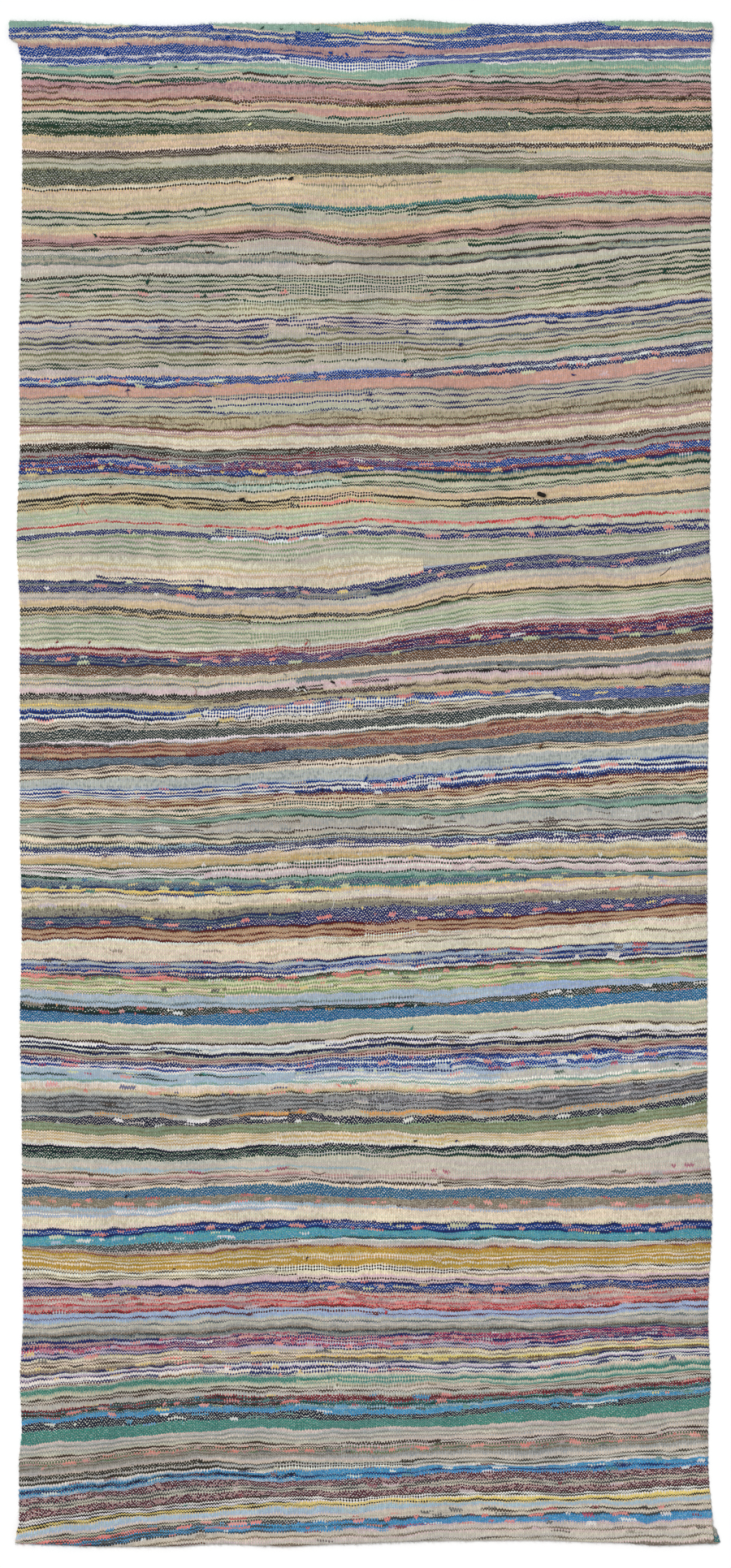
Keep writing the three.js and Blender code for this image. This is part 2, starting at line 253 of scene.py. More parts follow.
# Yarns by name, with the colour that each shows in the cloth. Some are heathered with a second yarn.
YARNS = {
    "royal": ((12, 60, 142), (28, 70, 156), 0.2),
    "navy": ((30, 38, 98), (66, 74, 132), 0.2),
    "ink": ((24, 28, 50),),
    "violet": ((66, 38, 88), (126, 62, 104), 0.3),
    "white": ((224, 224, 220),),
    "cream": ((221, 209, 187), (215, 199, 173), 0.3),
    "peach": ((210, 188, 158), (198, 176, 164), 0.25),
    "honey": ((202, 181, 140), (212, 198, 168), 0.3),
    "gold": ((192, 164, 104), (218, 200, 152), 0.35),
    "rose": ((182, 143, 142), (166, 125, 132), 0.3),
    "salmon": ((198, 154, 138), (202, 166, 154), 0.3),
    "mauve": ((186, 142, 140), (204, 170, 160), 0.35),
    "beige": ((196, 189, 176), (206, 201, 190), 0.3),
    "blush": ((202, 187, 179), (210, 199, 189), 0.3),
    "sage": ((185, 180, 161), (198, 191, 175), 0.35),
    "celadon": ((192, 194, 170), (204, 198, 178), 0.35),
    "mint": ((168, 184, 154), (192, 198, 176), 0.35),
    "olive": ((124, 124, 92), (150, 146, 116), 0.3),
    "khaki": ((172, 164, 136), (148, 140, 114), 0.35),
    "tan": ((180, 145, 116), (196, 167, 140), 0.3),
    "taupe": ((128, 117, 101), (162, 151, 135), 0.35),
    "brown": ((103, 72, 48), (87, 62, 44), 0.3),
    "umber": ((64, 48, 38), (88, 70, 54), 0.2),
    "black": ((34, 30, 28),),
    "charcoal": ((68, 70, 70), (54, 60, 64), 0.3),
    "slate": ((108, 122, 126), (86, 102, 110), 0.3),
    "grey": ((144, 144, 138), (168, 166, 158), 0.35),
    "silver": ((181, 180, 173), (175, 181, 181), 0.3),
    "forest": ((26, 62, 46), (44, 84, 62), 0.25),
    "bottle": ((20, 58, 48), (28, 48, 54), 0.3),
    "teal": ((48, 112, 112), (70, 120, 140), 0.35),
    "sea": ((128, 164, 148), (150, 184, 168), 0.3),
    "jade": ((58, 128, 116), (78, 140, 130), 0.3),
    "turquoise": ((66, 149, 170), (90, 165, 170), 0.35),
    "steel": ((36, 94, 134), (66, 115, 148), 0.3),
    "denim": ((79, 102, 120), (57, 82, 106), 0.35),
    "sky": ((160, 180, 198), (184, 196, 204), 0.3),
    "periwinkle": ((150, 170, 204), (174, 188, 210), 0.3),
    "azure": ((56, 138, 188), (104, 158, 192), 0.3),
    "claret": ((124, 38, 52), (100, 30, 46), 0.25),
    "maroon": ((98, 40, 44), (74, 36, 40), 0.3),
    "oxblood": ((98, 28, 26),),
    "rust": ((138, 75, 62), (120, 67, 62), 0.35),
    "crimson": ((180, 66, 96), (206, 144, 156), 0.45),
    "red": ((188, 58, 64), (222, 140, 130), 0.45),
    "coral": ((226, 130, 122),),
    "orange": ((210, 151, 86), (172, 151, 124), 0.3),
    "mustard": ((176, 140, 40), (190, 156, 66), 0.3),
    "lime": ((204, 210, 162), (218, 214, 182), 0.3),
    "yellow": ((224, 198, 116),),
    "petal": ((206, 182, 188), (220, 204, 204), 0.3),
    "magenta": ((162, 54, 92),),
    "lilac": ((186, 178, 194), (202, 194, 202), 0.3),
    "fir_tweed": ((62, 69, 48), (31, 65, 42), 0.4),
    "olive_tweed": ((86, 90, 68), (56, 62, 48), 0.4),
    "grey_tweed": ((142, 144, 148), (116, 116, 120), 0.35),
    "taupe_tweed": ((134, 128, 112), (96, 84, 84), 0.35),
    "maroon_tweed": ((84, 38, 52), (172, 136, 136), 0.35),
    "dark_medley": ((34, 46, 42), (110, 62, 58), 0.15),
    "berry": ((100, 44, 92), (44, 48, 110), 0.4),
    "meadow": ((96, 120, 84), (206, 120, 104), 0.3),
    "moss": ((148, 150, 132), (120, 134, 122), 0.4),
    "aqua": ((186, 200, 184), (166, 190, 176), 0.4),
    "fern": ((126, 148, 116), (144, 162, 134), 0.3),
    "soot": ((56, 52, 42), (38, 36, 30), 0.3),
    "pine": ((36, 51, 52), (60, 73, 74), 0.3),
    "mist": ((174, 180, 176), (154, 164, 164), 0.35),
    "leaf": ((122, 148, 96), (150, 170, 120), 0.3),
    "ocean": ((20, 98, 148), (48, 124, 166), 0.3),
}

# The weaver's draft, read from the cloth. An entry gives the pick where a stripe starts and its yarn. A
# number after a yarn is how far it runs from the left selvedge, in centimetres, before the next one.
DRAFT = """
-20 sea; 1 sea 62 honey 98 royal 108 royal 126 sea; 2 sea 68 honey 97 royal 126 sea
3 sea 70 honey 96 royal 108 royal 126 sea; 4 sea 74 honey 84 sea 97 royal 127 sea
5 sea 26 royal 42 sea 75 royal 128 sea; 6 sea 8 cream 24 royal 42 sea 75 royal 94 royal 128 cream
7 royal 8 cream 20 royal 42 cream 60 royal; 8 royal 68 cream 94 royal; 9 royal 94 cream; 10 royal
11 cream 60 royal 66 cream 90 royal; 12 royal; 14 royal 74 rose 88 royal
15 cream 42 royal 50 rose 58 royal 72 rose; 16 peach 40 rose; 17 salmon 40 rose; 18 rose 74 royal 84 rose
19 rose 4 royal 6 rose 30 royal 36 rose; 20 royal 52 royal 66 rose 84 royal 92 cream
21 royal 53 rose 66 royal 70 rose 80 royal 92 royal; 22 royal 54 rose 64 royal
23 royal 62 royal 76 sky 90 royal; 24 royal; 25 royal 5 white 18 royal 30 white 86 sky 92 royal
26 white 56 royal 84 white; 27 royal; 28 royal 56 white 86 royal; 30 white 57 royal 100 white
31 sea 3 royal 10 sea 25 royal 28 sea 38 royal 46 sea 100 white; 32 sea; 34 celadon 75 sea
35 sea 20 celadon 60 sea 104 celadon; 36 sea; 38 bottle 20 sage 48 umber 58 sage
39 umber 76 beige 82 umber; 40 blush; 42 forest; 44 rose 24 honey 30 forest 45 honey 50 rose; 45 rose
46 rose 8 umber 40 rose 66 umber; 47 brown 12 rose 66 honey 96 rose; 48 rose 84 umber; 49 rose
50 brown 8 mauve 52 rose; 51 mauve 84 umber; 52 mauve 60 rose; 53 rose; 54 brown; 56 honey 40 umber
57 honey 46 brown 50 honey 76 brown; 58 brown 38 honey; 59 salmon; 61 peach 60 salmon; 62 forest 60 salmon
63 forest 58 salmon 64 forest; 64 sage 66 forest 76 salmon; 65 sage 108 forest; 66 sage 88 sage 110 forest
67 forest 56 black 84 sage; 68 sage; 69 fir_tweed; 71 forest 40 fir_tweed; 72 fir_tweed
75 forest 40 fir_tweed 112 forest; 76 fir_tweed; 78 honey; 79 peach; 81 honey; 82 peach; 85 honey
86 cream; 87 umber; 90 taupe 55 honey; 91 umber 58 sage 110 honey; 92 olive 58 umber 112 sage; 93 sage
95 sage 60 blush; 96 olive 30 sage 60 blush 78 olive; 97 sage; 98 sage 96 olive; 99 sage; 100 olive
101 olive_tweed; 103 olive_tweed 40 olive_tweed; 106 olive_tweed 90 fern 108 olive_tweed
109 olive_tweed 90 fern 109 honey; 110 honey; 111 cream 58 peach; 112 black 59 peach; 113 honey; 114 peach
115 peach 60 olive 91 peach; 116 peach; 119 honey; 120 peach; 122 honey; 123 peach; 126 forest 50 peach
127 forest 50 teal 84 teal 112 crimson; 128 sage 50 teal 112 crimson; 129 sage 84 bottle 118 crimson
130 forest 36 sage 50 bottle 84 sage; 131 forest 62 sage 66 forest; 132 sage; 133 sage 84 forest
135 forest 32 honey 58 sage; 136 sage; 137 peach; 139 honey; 140 peach; 142 salmon; 145 mauve 17 umber
146 umber 4 mauve 20 umber; 147 rose; 148 umber; 149 rose; 150 umber 88 rose; 151 sage
152 sage 84 forest 118 sage; 153 forest 45 sage; 154 forest 14 sage 26 forest 45 sage 97 forest
155 sage 26 forest 34 sage 97 forest; 156 beige; 158 slate 20 umber 42 sage; 159 moss 46 umber
160 moss 90 umber 128 slate; 161 moss; 162 sage; 163 moss 66 slate; 164 slate 60 umber
165 beige 84 celadon; 166 beige; 169 sage; 172 umber; 173 forest; 174 sage; 176 forest; 177 sage
179 forest; 180 sage; 182 forest; 184 blush 58 sage; 185 sage 88 forest; 186 forest 64 sage
187 sage 85 honey 110 sage; 188 sage; 189 forest; 190 beige 60 olive; 191 celadon; 192 olive; 193 celadon
195 olive; 196 celadon; 199 brown; 200 beige; 202 navy 60 blush 64 navy 72 blush; 203 navy
204 blush 90 royal 105 royal; 205 blush 53 navy 90 royal 134 navy
206 sky 30 navy 54 blush 66 navy 84 blush 114 navy; 207 blush 64 blush; 208 navy 54 sage 62 navy 114 sage
209 blush 88 navy; 210 sage 30 olive 54 sage 62 olive 84 sage 114 navy; 211 sage
212 navy 54 sage 62 navy 92 sage; 213 sage 20 navy 54 sage; 214 sage 112 navy; 215 olive
216 navy 60 olive 90 slate; 217 sage; 219 navy; 220 sage; 222 olive; 223 olive 40 brown; 224 sage
226 olive; 227 sage; 228 sage 92 sea; 229 forest; 230 sage 92 aqua; 231 forest 30 sage; 232 beige
234 blush; 236 peach 60 sky 84 navy; 237 royal 84 navy; 239 royal 84 white; 240 white 44 navy 84 navy
241 royal 84 navy; 243 navy 42 salmon; 244 salmon; 251 slate; 252 sage; 254 navy; 255 sage; 258 navy
259 sage; 261 navy; 262 sage; 264 khaki; 265 khaki 20 brown 50 khaki; 266 khaki; 268 khaki 60 brown
269 brown 40 khaki; 270 khaki; 272 brown; 273 brown 100 rose; 274 rose; 275 cream; 276 rose; 277 honey
278 rose; 279 honey 60 rose; 280 cream; 284 peach; 285 cream; 286 cream 68 umber; 287 umber
289 umber 20 grey 60 umber 100 grey; 290 black 58 umber 62 claret 66 umber 90 grey
291 umber 60 grey 90 claret; 292 grey 22 umber 50 claret; 293 grey; 294 claret 110 grey
295 grey 6 navy 30 silver; 296 navy 44 berry 84 claret; 297 navy 14 silver 40 berry 84 royal
298 claret 14 royal 44 berry 84 royal; 299 royal 44 berry 84 royal; 301 claret
302 navy 45 berry 84 claret; 303 royal 84 navy; 305 navy 84 teal; 306 khaki; 308 khaki 70 forest
310 aqua 70 sage; 311 forest 70 sage; 312 aqua 70 celadon; 313 aqua 70 forest; 314 aqua 70 celadon
315 forest; 316 sage; 317 peach; 319 honey; 320 peach; 322 black 112 honey; 323 black 112 peach
324 honey 112 black; 325 black 60 honey 66 coral 86 honey 96 black; 326 honey 60 coral 70 honey 96 black
327 black; 328 honey; 329 celadon; 331 mint; 332 beige; 333 mint; 334 celadon; 336 mint; 337 beige
338 red; 340 celadon; 342 beige 43 navy 50 beige; 343 celadon 42 navy; 344 celadon 44 sage 92 navy
345 navy 66 sage; 346 navy; 347 navy 42 white 66 navy; 349 sage; 350 fern; 351 sage; 352 blush; 353 fern
354 blush; 355 celadon; 356 fern; 357 celadon; 359 fern 60 sage; 360 sage; 362 cream 88 sage
365 honey 88 sage; 366 cream 88 sage; 368 honey 88 sage; 369 cream 88 sage; 370 cream 88 sky 110 navy
372 cream 17 navy 40 cream 88 navy; 373 cream 88 navy; 374 navy; 376 denim 60 navy; 377 grey; 378 navy
379 navy 60 grey 76 navy; 380 navy 60 slate 84 navy; 381 navy; 382 taupe 72 grey; 383 silver; 384 beige
386 grey 62 silver; 387 beige; 388 peach; 391 honey; 392 peach; 393 soot 46 peach 60 soot 78 peach
394 soot; 396 honey; 397 soot; 398 celadon 78 soot 98 celadon; 399 fern; 400 sage; 401 blush
402 fern 50 sage; 403 celadon; 405 fern; 406 celadon; 408 fern; 409 celadon; 411 fern; 412 celadon
413 celadon 30 silver; 414 white; 415 blush; 416 claret; 417 claret 75 blush; 418 salmon 75 claret
419 blush 34 claret 60 blush 80 claret; 420 claret 34 berry 80 navy; 421 navy 12 claret 34 berry 76 claret
422 navy 40 violet 78 berry; 423 navy 40 violet 80 navy; 424 denim 36 violet 76 claret; 425 navy
426 slate 40 navy 70 grey; 427 navy; 428 navy 40 brown 118 navy; 429 brown; 435 cream; 436 sage
437 fern 40 sage; 438 beige; 439 peach; 440 slate; 441 beige 60 slate; 443 petal 60 slate
444 petal 66 beige; 445 petal 92 charcoal; 446 black 62 petal 72 black 116 slate
447 black 66 petal 92 black 130 petal; 448 black 62 petal 72 black 80 petal; 449 black 40 umber 66 petal
450 black 30 khaki 44 umber 66 petal; 451 khaki 20 umber 60 khaki; 452 khaki 42 umber 86 khaki
453 khaki 66 umber; 454 khaki 42 umber 82 khaki; 455 yellow 38 khaki 76 honey; 456 khaki; 457 sage
458 sage 38 navy 50 sage 60 navy; 459 royal; 460 navy 40 white 84 royal; 461 white 84 royal
462 royal 84 white 116 royal; 463 navy 84 royal; 464 white 84 royal; 465 cream 116 royal
466 umber 112 white 118 royal; 467 beige 118 royal; 468 umber 118 royal; 469 beige 130 navy; 470 pine
477 white; 479 charcoal; 480 umber 20 tan; 481 rust; 482 rust 50 tan 60 rust; 483 tan; 484 rust
486 tan 36 rust; 488 maroon 58 tan; 490 denim; 496 charcoal; 497 cream; 498 umber; 499 cream; 500 umber
501 cream; 503 umber 50 mist; 504 mist; 510 sky; 511 royal; 513 white; 514 royal 60 navy; 515 navy
516 white; 517 royal; 518 royal 60 navy; 519 white 60 navy; 520 maroon; 521 peach; 522 oxblood; 523 honey
524 oxblood; 525 peach; 526 cream; 527 forest; 528 cream; 530 forest; 531 cream; 532 bottle; 533 sea
534 slate; 535 sea; 537 forest 40 bottle; 538 silver; 540 taupe 60 silver; 541 silver; 543 umber 40 silver
544 silver; 546 umber; 547 beige; 548 silver 40 beige; 549 charcoal; 551 cream; 552 cream 46 charcoal
553 soot; 554 cream 30 sky; 555 denim 40 navy; 556 navy; 559 white; 560 navy; 561 cream; 563 honey
564 honey 60 khaki; 565 gold; 566 honey; 567 gold; 568 khaki; 569 forest; 570 white; 571 petal; 572 forest
573 white; 574 forest 40 petal; 575 petal; 576 white 40 petal; 577 forest; 578 bottle 10 sea; 579 sea
580 slate 60 teal; 581 denim; 582 denim 40 royal 60 denim 100 slate; 583 denim; 584 navy 60 jade 110 denim
585 yellow; 586 yellow 70 peach; 587 navy 68 peach; 588 cream; 590 taupe 30 cream; 591 cream; 592 blush
593 cream 60 taupe; 594 cream; 595 khaki; 597 taupe_tweed; 601 navy; 603 denim 60 navy; 604 navy
605 denim 60 navy; 606 navy; 608 denim 40 navy; 609 oxblood; 611 tan; 613 oxblood; 614 tan; 616 oxblood
617 oxblood 40 tan; 618 white; 619 cream; 621 cream 66 taupe 96 cream; 622 cream; 624 cream 84 taupe
625 cream; 631 navy; 633 silver 60 sky; 634 sky; 635 navy; 636 royal; 637 silver; 638 royal
639 navy 60 sky 90 navy; 640 blush 30 rose 40 white; 641 navy 60 umber
642 coral 6 brown 22 coral 32 umber 68 coral 76 umber
643 coral 10 meadow 24 coral 36 meadow 50 coral 56 meadow; 644 meadow; 645 lime; 646 celadon; 647 leaf
648 lime; 649 olive; 650 cream; 651 lime; 652 leaf; 653 cream 60 celadon; 654 leaf; 655 sky 105 periwinkle
658 sky 86 silver 100 sky; 659 slate 86 sky 105 periwinkle; 660 sky 105 periwinkle; 661 sky 90 periwinkle
662 dark_medley; 664 bottle 30 dark_medley 60 bottle 90 dark_medley; 665 dark_medley; 667 ocean; 674 cream
676 celadon; 677 mint; 678 cream; 679 mint; 680 celadon; 681 mint; 682 cream; 683 mint; 684 sage
686 umber; 687 umber 66 cream; 688 white; 689 white 14 navy 24 white 66 black 98 white
690 navy 30 sky 60 white; 691 ink 40 white 66 navy 98 black; 692 white; 693 ink; 695 navy 24 white 30 navy
696 beige; 697 taupe; 698 mauve; 699 maroon; 700 blush; 701 navy; 702 navy 40 royal; 704 white; 705 royal
707 white 60 royal; 708 sky; 709 sky 60 navy; 710 sky 20 ink 30 sky 38 forest 52 sky
711 sky 66 white 75 sky 105 silver; 712 forest 10 sky 24 forest 32 sky 60 white 100 silver
713 sky 70 sky 105 silver; 715 sky 60 white; 716 sea; 717 white 110 sea; 718 cream; 721 honey
723 beige 30 umber; 724 silver; 725 grey_tweed; 726 charcoal; 727 grey_tweed; 729 charcoal; 730 grey_tweed
732 charcoal; 733 grey_tweed; 735 charcoal; 736 grey
737 sage 16 orange 24 sage 30 orange 34 sage 46 orange 62 sage 74 orange
738 silver 48 orange 62 sage 76 orange 96 silver; 739 teal 12 ink 33 white 41 ink 66 sage
740 ink 33 white 41 ink; 741 ink 36 white 41 ink 50 white 58 ink; 742 ink; 744 ink 60 fern; 745 olive
746 fern; 748 olive; 749 fern; 751 olive; 752 cream; 753 gold; 754 cream; 755 gold; 756 cream; 757 gold
758 cream; 760 white; 761 ink; 763 bottle 100 ink; 765 ink 60 silver; 766 bottle; 768 bottle 60 celadon
769 bottle 48 beige; 770 silver 60 beige; 772 beige; 775 beige 14 sky 30 beige; 776 sky 76 beige
777 beige 12 sky 60 beige; 778 beige; 779 brown 40 taupe 60 beige 90 blush; 780 blush; 782 mauve
783 taupe; 784 beige; 785 umber; 786 beige; 787 umber; 788 cream; 790 steel; 796 taupe; 802 sky 66 silver
803 sky; 804 silver 20 white 60 cream; 805 white 10 sky 60 cream; 806 sky 60 cream; 807 cream; 813 navy
815 royal; 817 navy; 819 turquoise; 824 charcoal; 825 charcoal 60 white 140 charcoal
826 charcoal 50 silver 140 charcoal; 827 charcoal 40 silver; 828 blush; 829 tan 60 rust
830 rust 60 mustard; 831 mustard; 833 honey; 834 mustard; 835 cream; 836 mustard; 838 cream; 839 mustard
842 cream; 843 umber; 844 white; 845 cream; 846 taupe 60 umber 95 taupe; 847 cream; 848 umber 60 cream
849 petal; 851 umber 20 petal 60 umber; 852 petal; 853 navy; 855 royal; 857 navy; 860 tan; 861 blush
862 red; 863 rose; 864 blush; 865 red 60 rose; 866 red; 867 rose; 868 rose 50 red; 869 red; 870 maroon
871 periwinkle; 874 maroon; 875 periwinkle; 877 silver; 878 beige; 879 slate; 880 silver; 881 beige
883 grey; 884 taupe; 885 charcoal; 886 slate; 887 grey 115 navy; 888 navy 30 crimson 60 navy 90 crimson
889 navy; 890 rose 20 lilac 40 rose 60 crimson; 891 navy 20 berry 50 crimson 66 rose 90 navy; 892 berry
893 crimson 30 berry 60 crimson 120 berry; 894 lilac 20 rose 60 lilac 110 navy; 895 navy; 896 lilac
897 navy 40 lilac 66 navy; 898 navy 10 honey; 899 cream; 900 taupe 50 yellow 56 taupe; 901 cream
902 umber 60 yellow; 903 cream 60 brown; 904 taupe; 905 taupe 44 grey 110 navy; 906 navy; 907 white
908 lilac; 909 navy; 910 white 46 navy; 911 white; 912 navy 30 cream 50 navy; 913 maroon 40 navy 60 cream
914 beige; 915 sea; 916 jade; 918 jade 60 celadon; 919 sea; 920 sage 100 jade; 921 beige
922 umber 60 taupe; 923 beige; 924 umber; 925 silver; 927 silver 40 claret 70 taupe
928 claret 20 bottle 60 claret; 929 maroon; 930 teal 60 claret; 931 maroon 60 teal; 932 bottle; 933 teal
934 denim 60 sky; 935 azure; 938 ink 66 azure 96 ink 120 white 130 ink; 939 ink 120 white 130 ink; 940 ink
943 jade; 950 blush; 952 silver; 953 grey; 954 silver; 955 beige; 956 grey; 957 silver; 958 beige
959 umber 60 blush 140 umber; 960 umber; 961 blush; 962 umber; 963 meadow; 964 rose; 965 meadow; 966 grey
967 taupe; 968 grey; 970 silver; 971 beige; 972 soot 40 blush; 973 soot; 974 soot 60 silver; 975 silver
976 soot; 977 soot 50 sage; 978 white; 979 sky 40 azure; 980 azure; 981 ink 60 azure; 982 navy; 983 azure
984 sky 60 azure; 985 maroon_tweed; 989 charcoal; 990 sage; 991 charcoal; 992 sage; 993 maroon_tweed
997 umber; 998 white; 999 black; 1000 white; 1001 black 60 yellow; 1002 yellow; 1003 black; 1004 honey
1005 sky; 1008 beige; 1010 umber 70 beige 100 umber; 1011 sage; 1012 charcoal 60 beige
1013 coral 30 charcoal; 1014 charcoal 60 azure 75 charcoal; 1015 azure
1016 charcoal 40 coral 50 charcoal 80 azure; 1017 azure; 1018 umber 40 azure 80 crimson 90 azure
1019 charcoal 60 azure 70 petal; 1020 beige; 1023 taupe; 1024 blush; 1026 brown 40 blush; 1027 beige
1029 taupe; 1030 blush; 1033 taupe; 1036 silver 140 teal; 1040 grey
"""

# Where the two weavers' picks meet and alternate, as first pick, last pick, left and right in centimetres.
ZONES = [
    (5, 15, 60, 65),
    (24, 31, 57, 85),
    (42, 44, 45, 76),
    (52, 59, 47, 74),
    (62, 70, 60, 84),
    (86, 110, 58, 76),
    (112, 113, 0, 60),
    (115, 137, 60, 85),
    (145, 150, 60, 78),
    (150, 165, 46, 64),
    (172, 186, 56, 88),
    (187, 200, 48, 60),
    (200, 215, 57, 66),
    (216, 234, 64, 83),
    (237, 245, 42, 85),
    (251, 262, 42, 76),
    (308, 316, 48, 70),
    (321, 330, 60, 78),
    (341, 350, 42, 66),
    (355, 361, 52, 75),
    (374, 384, 60, 76),
    (394, 413, 50, 82),
    (415, 420, 48, 78),
    (436, 441, 45, 62),
    (453, 458, 42, 70),
    (460, 463, 40, 84),
    (465, 469, 50, 75),
    (497, 503, 60, 80),
    (512, 520, 75, 92),
    (521, 531, 55, 78),
    (538, 548, 60, 82),
    (549, 557, 56, 90),
    (562, 570, 60, 80),
    (570, 577, 41, 95),
    (588, 600, 60, 95),
    (601, 608, 76, 90),
    (609, 618, 74, 86),
    (632, 640, 66, 80),
    (645, 654, 45, 68),
    (656, 661, 65, 85),
    (688, 691, 66, 90),
    (698, 709, 60, 95),
    (725, 737, 66, 90),
    (740, 751, 70, 88),
    (752, 760, 56, 92),
    (761, 769, 53, 80),
    (779, 789, 60, 90),
    (813, 823, 66, 78),
    (824, 829, 40, 62),
    (832, 841, 60, 90),
    (842, 852, 55, 95),
    (871, 877, 50, 76),
    (889, 897, 55, 80),
    (906, 913, 45, 80),
    (914, 922, 68, 90),
    (958, 966, 70, 90),
    (973, 978, 56, 84),
    (998, 1005, 70, 88),
]

# Bands whose yarn shows specks of other colours: first and last pick, how many specks, and their yarns.
SPECKLED = [
    (183, 185, 16, "rose coral blush"),
    (237, 243, 18, "coral lime honey rose"),
    (244, 250, 20, "rose orange petal"),
    (296, 305, 70, "coral yellow white claret lime petal"),
    (338, 340, 26, "honey rose coral"),
    (344, 348, 12, "coral lime white"),
    (374, 382, 22, "coral white lime"),
    (419, 427, 46, "coral lime honey violet white"),
    (446, 450, 14, "coral grey petal"),
    (459, 464, 22, "coral yellow rose"),
    (480, 488, 40, "oxblood tan umber"),
    (511, 519, 40, "coral lime honey white"),
    (539, 547, 30, "umber white slate"),
    (555, 561, 30, "coral violet honey white"),
    (565, 569, 16, "yellow white"),
    (578, 586, 60, "lime jade yellow navy ocean"),
    (588, 594, 30, "lilac taupe coral"),
    (601, 608, 50, "coral lime violet yellow white"),
    (618, 625, 14, "lime lilac taupe"),
    (632, 645, 90, "coral red lime umber white"),
    (645, 654, 50, "yellow coral honey charcoal white"),
    (662, 666, 50, "coral red orange white taupe"),
    (688, 697, 26, "navy white taupe"),
    (701, 712, 70, "coral lime sky forest crimson white"),
    (713, 717, 30, "jade white sky"),
    (718, 723, 46, "coral navy lime honey"),
    (725, 736, 30, "umber black silver"),
    (740, 744, 30, "white silver forest"),
    (779, 788, 20, "umber grey petal"),
    (796, 801, 60, "coral coral red umber"),
    (813, 818, 40, "coral lime coral crimson"),
    (819, 823, 24, "white sky jade ocean"),
    (853, 859, 36, "coral lime rose honey"),
    (861, 870, 80, "coral red petal rust"),
    (888, 897, 130, "crimson rose coral lilac yellow navy white"),
    (898, 905, 40, "yellow coral charcoal"),
    (906, 913, 40, "yellow coral navy"),
    (927, 935, 130, "coral yellow azure claret jade red black"),
    (935, 943, 46, "white azure teal"),
    (962, 966, 40, "coral rose charcoal"),
    (978, 984, 40, "white maroon teal navy"),
    (985, 997, 40, "petal black claret"),
    (1009, 1020, 100, "coral charcoal azure claret white red"),
    (1021, 1032, 40, "umber taupe petal"),
]

# The clearest flecks of printed rag: their pick, the yarn and their places across in centimetres.
FLECKS = [
    (184, "coral", (2, 4, 9, 27, 57)),
    (185, "rose", (3, 12, 15, 21, 31, 43, 57)),
    (239, "coral", (21, 35, 57, 66, 84, 95, 104, 118, 129, 138)),
    (242, "lime", (26, 60, 86, 110, 133)),
    (298, "coral", (3, 16, 31, 48, 61, 70, 88, 96, 119, 143)),
    (302, "yellow", (6, 18, 44, 52, 75, 104, 127)),
    (339, "coral", (51, 57, 68, 80, 84, 92, 98, 106, 112, 126)),
    (346, "coral", (24, 46, 60, 72, 90, 97, 111, 128, 141)),
    (377, "coral", (18, 27, 45, 62, 92, 106, 119, 132)),
    (376, "yellow", (36, 70, 100, 121)),
    (423, "coral", (9, 23, 33, 43, 55, 66, 92, 103, 122, 131, 139)),
    (426, "lime", (14, 38, 60, 82, 111, 133)),
    (458, "coral", (62, 84, 92, 101, 106, 131, 135)),
    (462, "yellow", (38, 72, 104, 127)),
    (514, "coral", (78, 83, 92, 103, 121, 129)),
    (583, "lime", (9, 31, 44, 58, 71, 88, 103, 117, 134)),
    (605, "coral", (6, 18, 33, 49, 66, 81, 97, 113, 128, 142)),
    (643, "coral", (3, 12, 16, 26, 35, 52, 70, 77, 93, 105)),
    (664, "coral", (22, 47, 58, 83, 96, 127)),
    (704, "coral", (11, 37, 63, 79, 102, 124, 138)),
    (721, "coral", (14, 29, 46, 63, 88, 110, 131)),
    (778, "magenta", (38, 40, 53, 56, 89, 92, 142, 145)),
    (799, "coral", (3, 12, 22, 28, 40, 53, 64, 77, 104, 116, 130, 140, 147)),
    (816, "coral", (17, 41, 60, 86, 109, 137)),
    (865, "coral", (8, 24, 39, 52, 68, 83, 99, 118, 133)),
    (893, "crimson", (5, 17, 31, 46, 59, 74, 88, 104, 117, 129, 141)),
    (931, "coral", (11, 14, 17, 31, 34, 59, 62, 92, 121)),
    (964, "coral", (11, 29, 47, 59, 63, 75, 81, 88, 91, 100, 110, 121, 131, 147)),
    (1013, "coral", (6, 18, 36, 47, 51, 73, 80, 86, 101, 112, 130)),
    (1014, "crimson", (123,)),
]


def smooth_step(value, low, high):
    """0 below low, 1 above high and smooth between them."""
    share = np.clip((value - low) / (high - low), 0, 1)
    return share * share * (3 - 2 * share)


def eased(rows, key, places, column):
    """A column of a table in millimetres at some places in metres, eased between its rows, in metres."""
    at = np.array([row[key] for row in rows]) * MM
    values = np.array([row[column] for row in rows]) * MM
    after = np.clip(np.searchsorted(at, places), 1, len(at) - 1)
    share = smooth_step(places, at[after - 1], at[after])
    return values[after - 1] + (values[after] - values[after - 1]) * share


def curve_between(before, here, there, after, share):
    """A smooth curve at a share of the way from here to there, bent by the points before and after them."""
    curve = 2 * here + (there - before) * share
    curve += (2 * before - 5 * here + 4 * there - after) * share**2
    curve += (3 * here - before - 3 * there + after) * share**3
    return curve / 2


